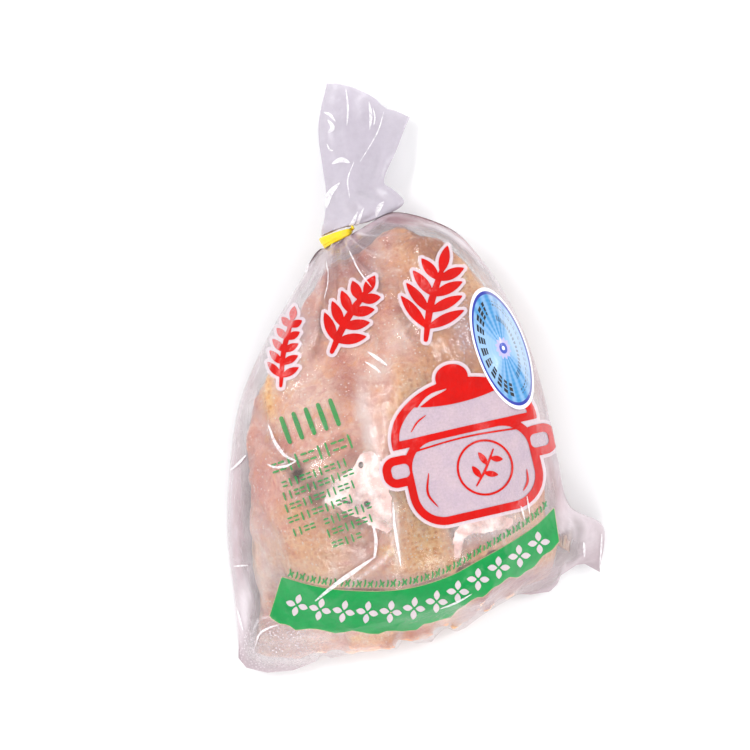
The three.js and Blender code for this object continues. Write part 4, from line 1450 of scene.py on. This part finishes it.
class CHICKEN_OT_print(bpy.types.Operator):
    """Adds the art printed on the film"""

    bl_idname = "chicken.add_print"
    bl_label = "Printed art"

    def execute(self, context):
        s = context.scene.chicken_print
        red = ink_material("red_ink", s.red, s.red_fold, 1.0)
        green = ink_material("green_ink", s.green, s.green_deep, 0.93)
        thin_green = ink_material("thin_green_ink", s.green_marks, s.green, 0.76)
        pale = ink_material("pale_ink", s.pale, "#DCCFDA", 0.78)
        lilac = ink_material("lilac_ink", s.lilac, "#C4B0C2", 0.44)
        thin_yellow = ink_material("thin_yellow_ink", "#E4DCB4", "#D8CC9C", 0.55)
        step = 0.1
        cut_patch("sprigs_edge", lambda q: sprigs(q) - 3.4, step, pale)
        cut_patch("sprigs", sprigs, 2 * step, red)
        cut_patch("pot_edge", lambda q: pot(q)[0] - 8, step, pale)
        cut_patch("pot_ground", lambda q: pot(q)[1] - 2, 2 * step, lilac)
        cut_patch("pot_outline", self.pot_red, 3 * step, red)
        cut_patch("band_edge", lambda q: band(q) - 0.6, 0.5 * step, thin_yellow, 1)
        cut_patch("band", band, step, green, 1)
        cut_patch("band_flowers", band_marks, 2 * step, pale)
        cut_patch("green_marks", mark_rows, step, thin_green)
        cut_patch("fine_row", fine_row, step, thin_green)
        # White fold lines and painted highlights, over the print and on the tail.
        folded_glint = fold_glint_material()
        cut_patch("fold_glint_lines", lambda q: fold_glint_lines(q, FOLD_GLINT_LINES), 4 * step, folded_glint)
        cut_patch("tail_fold_glints", lambda q: fold_glint_lines(q, TAIL_FOLD_GLINTS), 2 * step, folded_glint, 2, "film_tail")
        return {"FINISHED"}

    @staticmethod
    def pot_red(q):
        whole, pale, shine, lines = pot(q)
        solid = np.maximum(whole - 4.5, -pale)
        solid = np.maximum(solid, -shine)
        return joined(solid, lines)


# ------------------------------------------------------------------ the neck's tape

class CHICKEN_OT_tape(bpy.types.Operator):
    """Adds the yellow tape wound on the bag's neck"""

    bl_idname = "chicken.add_tape"
    bl_label = "Neck tape"

    def execute(self, context):
        s = context.scene.chicken_tape
        tilt = math.radians(NECK["tilt"])
        across = np.array([math.cos(tilt), math.sin(tilt), 0])
        axis = np.array([-math.sin(tilt), math.cos(tilt), 0])
        up = np.array([0, 0, 1.0])
        middle = np.array([NECK["x"], NECK["y"], NECK["z"]])
        steps, section = 60 * s.turns, 10
        points = []
        for i in range(steps + 1):
            share = i / steps
            angle = 2 * math.pi * s.turns * share + 0.6
            wall = 0.45 + 0.12 * math.sin(angle * 1.7) + 0.3 * share
            bunch = 0.72 - 0.28 * math.cos(angle)
            travel = bunch * ((share - 0.5) * (s.width - s.strand) + 0.3 * math.sin(angle))
            lift = 1.6 * max(0.0, share - 0.94) / 0.06
            ring = across * math.cos(angle) * (NECK["half_width"] + wall)
            ring = ring + up * math.sin(angle) * (NECK["half_height"] + wall)
            ring = ring * (1 + lift / 6)
            out = ring / np.linalg.norm(ring)
            strand = s.strand * (0.8 - 0.2 * math.cos(angle))
            for j in range(section):
                a = 2 * math.pi * j / section
                wide = math.copysign(abs(math.cos(a)) ** 0.5, math.cos(a)) * strand / 2
                thick = math.sin(a) * s.thickness / 2
                points.append(middle + ring + axis * (travel + wide) + out * thick)
        faces = []
        for low in range(0, steps * section, section):
            for j in range(section):
                k = (j + 1) % section
                faces.append((low + j, low + k, low + section + k, low + section + j))
        faces += [tuple(range(section))[::-1], tuple(steps * section + j for j in range(section))]
        tape = add_piece("neck_tape", points, faces, tape_material(s))
        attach(tape, "root")
        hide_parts("neck_band")
        return {"FINISHED"}


# ------------------------------------------------------------------ the label

class CHICKEN_OT_label(bpy.types.Operator):
    """Adds the oval paper label on the side of the right thigh"""

    bl_idname = "chicken.add_label"
    bl_label = "Label"

    def execute(self, context):
        s = context.scene.chicken_label
        tree = surface(bpy.data.objects["film_bag"])
        rings, sides = 22, 96
        heading = math.radians(s.heading)
        places, uv = [], []
        for r in range(rings + 1):
            for k in range(sides if r else 1):
                angle = 2 * math.pi * k / sides
                u, v = r / rings * math.cos(angle), r / rings * math.sin(angle)
                across, along = u * s.plan_width / 2, v * s.length / 2
                x = s.middle[0] + across * math.cos(heading) - along * math.sin(heading)
                y = s.middle[1] + across * math.sin(heading) + along * math.cos(heading)
                places.append((x, y))
                uv.append((u, v))
        height = np.array([tree.ray_cast(Vector((x, y, 300)), Vector((0, 0, -1)))[0].z for x, y in places])
        ringed = np.vstack([np.full(sides, height[0]), height[1:].reshape(rings, sides)])
        stuck = self.settle(ringed, 40)
        stuck = np.concatenate([[stuck[0].mean()], stuck[1:].ravel()])
        top = np.column_stack([places, stuck + 0.35])
        under = top - np.array([0.12, 0.0, 0.2])
        count = len(places)
        faces = []
        for start, way in ((0, 1), (count, -1)):
            for k in range(sides):
                k2 = (k + 1) % sides
                faces.append((start, start + 1 + k, start + 1 + k2)[::way])
                for r in range(1, rings):
                    a, b = start + 1 + (r - 1) * sides, start + 1 + r * sides
                    faces.append((a + k, b + k, b + k2, a + k2)[::way])
        rim = 1 + (rings - 1) * sides
        for k in range(sides):
            k2 = (k + 1) % sides
            faces.append((rim + k, rim + count + k, rim + count + k2, rim + k2))
        label = add_piece("label_paper", np.vstack([top, under]), faces, label_material(s))
        oval_map = label.data.uv_layers.new(name="oval")
        both = uv + uv
        for loop in label.data.loops:
            oval_map.data[loop.index].uv = both[loop.vertex_index]
        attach(label, "root")
        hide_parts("label")
        return {"FINISHED"}

    @staticmethod
    def settle(height, passes):
        """Heights of stiff paper stuck on film of the given heights: smoother than the
        film, but nowhere below it. Rows are rings round the label's middle."""
        z = height.copy()
        for _ in range(passes):
            around = (np.roll(z, 1, 1) + np.roll(z, -1, 1)) / 2
            inner, outer = np.vstack([z[:1], z[:-1]]), np.vstack([z[1:], z[-1:]])
            z = np.maximum((2 * z + around + (inner + outer) / 2) / 4, height)
        return z


# ------------------------------------------------------------------ floor, lights, camera

class CHICKEN_OT_stage(bpy.types.Operator):
    """Adds the pale floor, the studio lights and the camera above the pack"""

    bl_idname = "chicken.add_stage"
    bl_label = "Stage"

    def execute(self, context):
        s = context.scene.chicken_stage
        scene = context.scene
        scene.view_settings.view_transform = "Standard"
        mesh = bpy.data.meshes.new("floor")
        reach = 2.2
        corners = [(-reach, -reach, 0), (reach, -reach, 0), (reach, reach, 0), (-reach, reach, 0)]
        mesh.from_pydata(corners, [], [(0, 1, 2, 3)])
        mesh.materials.append(table_material())
        floor = bpy.data.objects.new("floor", mesh)
        scene.collection.objects.link(floor)
        world = bpy.data.worlds.new("studio")
        world.use_nodes = True
        world.node_tree.nodes.clear()
        add = partial(add_node, world.node_tree)
        height = add("SeparateXYZ", add("TexCoord").outputs["Generated"]).outputs["Z"]
        level = add("MapRange", height, 0.3, 0.9, s.surround, s.overhead)
        add("OutputWorld", add("Background", "#FFFFFF", level))
        scene.world = world
        for name, place_at, size, power in (
            ("key", (-0.4, 0.35, 0.8), (0.36, 0.09), s.key),
            ("side", (0.7, 0.1, 0.6), (0.12, 0.5), s.side),
            ("front", (-0.1, -0.75, 0.6), (0.6, 0.12), s.front),
        ):
            light = bpy.data.lights.new(name, "AREA")
            light.shape = "RECTANGLE"
            light.size, light.size_y = size
            light.energy = power
            lamp = bpy.data.objects.new(name, light)
            lamp.location = place_at
            aim = Vector((0, 0, 0.03)) - Vector(place_at)
            lamp.rotation_euler = aim.to_track_quat("-Z", "Y").to_euler()
            scene.collection.objects.link(lamp)
        camera = bpy.data.cameras.new("camera")
        camera.sensor_width = 36
        camera.lens = 36 * (VIEW_HEIGHT - VIEW_LEVEL) / (750 * PRINT_PITCH)
        eye = bpy.data.objects.new("camera", camera)
        eye.location = ((VIEW_OVER[0] + SHIFT[0]) * MM, (VIEW_OVER[1] + SHIFT[1]) * MM, VIEW_HEIGHT * MM)
        eye.rotation_euler = (0, 0, -VIEW_TURN)
        scene.collection.objects.link(eye)
        scene.camera = eye
        return {"FINISHED"}


# ------------------------------------------------------------------ settings and panel

def colour_property(name, description, code):
    """A colour that can be changed in the sidebar, from its sRGB hex code."""
    return FloatVectorProperty(
        name=name, description=description, default=(*rgb(code), 1), subtype="COLOR", size=4, min=0, max=1,
    )


class BirdSettings(bpy.types.PropertyGroup):
    fineness: FloatProperty(
        name="Fineness", description="Facet size of the skin, in millimetres", default=1.2, min=0.8, max=4,
    )
    cover: FloatProperty(
        name="Cover", description="Air between the slack skin and the film, in millimetres", default=1.3,
        min=0.2, max=6,
    )
    margin: FloatProperty(
        name="Margin", description="Depth of the pack where the bird ends, in millimetres", default=7,
        min=2, max=30,
    )
    rim: FloatProperty(
        name="Rim", description="Bare film beyond the skin, in millimetres", default=3.6, min=0.5, max=20,
    )
    left_rim: FloatProperty(
        name="Left rim", description="How much wider it is at the lower left", default=2.0, min=0, max=20,
    )
    foot_rim: FloatProperty(
        name="Foot rim", description="Bare film at the foot, in millimetres", default=1.2, min=0.5, max=20,
    )
    soften: IntProperty(
        name="Soften", description="How many times the forms are blended together", default=9, min=0,
        max=60,
    )
    pink: colour_property("Pink", "Skin over lean meat", "#EBAA9A")
    pale: colour_property("Pale", "Skin over thin fat", "#F9DFD2")
    yellow: colour_property("Yellow", "Skin over yellow fat", "#FFCB80")
    # Tan skin, and painted shade in a few spots
    tan: colour_property("Tan", "Dried skin on the thigh", "#C68A66")
    fat: colour_property("Fat", "White fat under the skin", "#FFF4EF")
    warmth: FloatProperty(
        name="Warmth", description="Share of yellow in all of the skin", default=0.12, min=0, max=1,
    )


class FilmSettings(bpy.types.PropertyGroup):
    columns: IntProperty(name="Columns", description="Facets across a panel", default=192, min=32, max=400)
    steps: IntProperty(
        name="Steps", description="Facets for each span between two key ribs", default=16, min=8, max=32,
    )
    clearance: FloatProperty(
        name="Clearance", description="Film above the skin, in millimetres", default=0.45, min=0.1, max=3,
    )
    sag: FloatProperty(
        name="Sag", description="How far the film sinks between supports", default=0.012, min=0, max=2,
    )
    crinkle: FloatProperty(
        name="Crinkle", description="Height of the fine wrinkles, in millimetres", default=0.7, min=0,
        max=4,
    )
    haze: FloatProperty(
        name="Haze", description="Milkiness of film that lies on the skin", default=0.07, min=0, max=1,
    )
    milk: FloatProperty(
        name="Milk", description="Milkiness that air behind the film adds", default=0.68, min=0, max=1,
    )
    tint: colour_property("Tint", "Colour of the milky film", "#BDABB2")
    tail_tint: colour_property("Tail tint", "Colour of the loose film beyond the tape", "#C6BDCB")
    # Painted pink light from the meat, on the milky film
    skin_bounce: colour_property("Blush", "Colour of milky film that wet meat shines through", "#9A6870")


class PrintSettings(bpy.types.PropertyGroup):
    red: colour_property("Red", "Red ink", "#CE0C05")
    red_fold: colour_property("Red in folds", "Red ink where the film is folded", "#B8100C")
    green: colour_property("Green", "Green ink", "#069849")
    green_deep: colour_property("Deep green", "Green ink where it lies thick", "#068A44")
    green_marks: colour_property("Pale green", "Green ink of the small marks", "#38925C")
    pale: colour_property("Pale", "Pale ink round the red", "#E8D3D8")
    lilac: colour_property("Lilac", "Pale ink inside the pot", "#D2BFCA")


class TapeSettings(bpy.types.PropertyGroup):
    width: FloatProperty(
        name="Width", description="Width of the winding, in millimetres", default=5, min=1, max=12,
    )
    strand: FloatProperty(
        name="Strand", description="Width of one strand, in millimetres", default=2.1, min=0.5, max=6,
    )
    thickness: FloatProperty(
        name="Thickness", description="Thickness of a strand, in millimetres", default=0.5, min=0.05, max=2,
    )
    turns: IntProperty(name="Turns", description="Turns round the neck", default=3, min=1, max=8)
    yellow: colour_property("Yellow", "Tape", "#FFE81F")


class LabelSettings(bpy.types.PropertyGroup):
    length: FloatProperty(
        name="Length", description="Length of the oval, in millimetres", default=44, min=10, max=90,
    )
    width: FloatProperty(
        name="Width", description="Width of the oval laid flat, in millimetres", default=28, min=5, max=60,
    )
    plan_width: FloatProperty(
        name="Width in plan", description="Width of the oval from above, in millimetres", default=18.6,
        min=5, max=60,
    )
    middle: FloatVectorProperty(
        name="Middle", description="Middle of the label in the layout, in millimetres",
        default=(33.4, 22.0), size=2,
    )
    heading: FloatProperty(
        name="Heading", description="Turn of its long axis from +Y, in degrees", default=6.7, min=-90,
        max=90,
    )
    field: colour_property("Field", "Printed ground", "#8CB4DC")
    rays: colour_property("Rays", "Printed rays", "#2484C0")
    ring: colour_property("Ring", "Printed ring", "#1C2E9C")


class StageSettings(bpy.types.PropertyGroup):
    surround: FloatProperty(
        name="Surround", description="Brightness of the white room's walls", default=1.25, min=0, max=5,
    )
    overhead: FloatProperty(
        name="Overhead", description="Brightness of its ceiling", default=0.9, min=0, max=5,
    )
    key: FloatProperty(
        name="Key", description="Power of the main light, in watts", default=2.6, min=0, max=200,
    )
    side: FloatProperty(
        name="Side", description="Power of the side light, in watts", default=1.8, min=0, max=200,
    )
    front: FloatProperty(
        name="Front", description="Power of the front light, in watts", default=1.8, min=0, max=200,
    )


class CHICKEN_PT_panel(bpy.types.Panel):
    bl_idname = "CHICKEN_PT_panel"
    bl_label = "Bagged chicken"
    bl_space_type = "VIEW_3D"
    bl_region_type = "UI"
    bl_category = "Chicken"

    def draw(self, context):
        for operator in OPERATORS:
            self.layout.operator(operator.bl_idname)


OPERATORS = (
    CHICKEN_OT_bird, CHICKEN_OT_film, CHICKEN_OT_print, CHICKEN_OT_tape, CHICKEN_OT_label, CHICKEN_OT_stage
)
SETTINGS = {
    "chicken_bird": BirdSettings,
    "chicken_film": FilmSettings,
    "chicken_print": PrintSettings,
    "chicken_tape": TapeSettings,
    "chicken_label": LabelSettings,
    "chicken_stage": StageSettings,
}


def register():
    for cls in (*SETTINGS.values(), *OPERATORS, CHICKEN_PT_panel):
        bpy.utils.register_class(cls)
    for name, cls in SETTINGS.items():
        setattr(bpy.types.Scene, name, PointerProperty(type=cls))


def unregister():
    for name in SETTINGS:
        delattr(bpy.types.Scene, name)
    for cls in reversed((*SETTINGS.values(), *OPERATORS, CHICKEN_PT_panel)):
        bpy.utils.unregister_class(cls)


def main():
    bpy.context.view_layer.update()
    register()
    bpy.ops.chicken.add_bird()
    bpy.ops.chicken.add_film()
    bpy.ops.chicken.add_print()
    bpy.ops.chicken.add_tape()
    bpy.ops.chicken.add_label()
    bpy.ops.chicken.add_stage()
    bpy.context.view_layer.update()


if __name__ == "__main__":
    main()
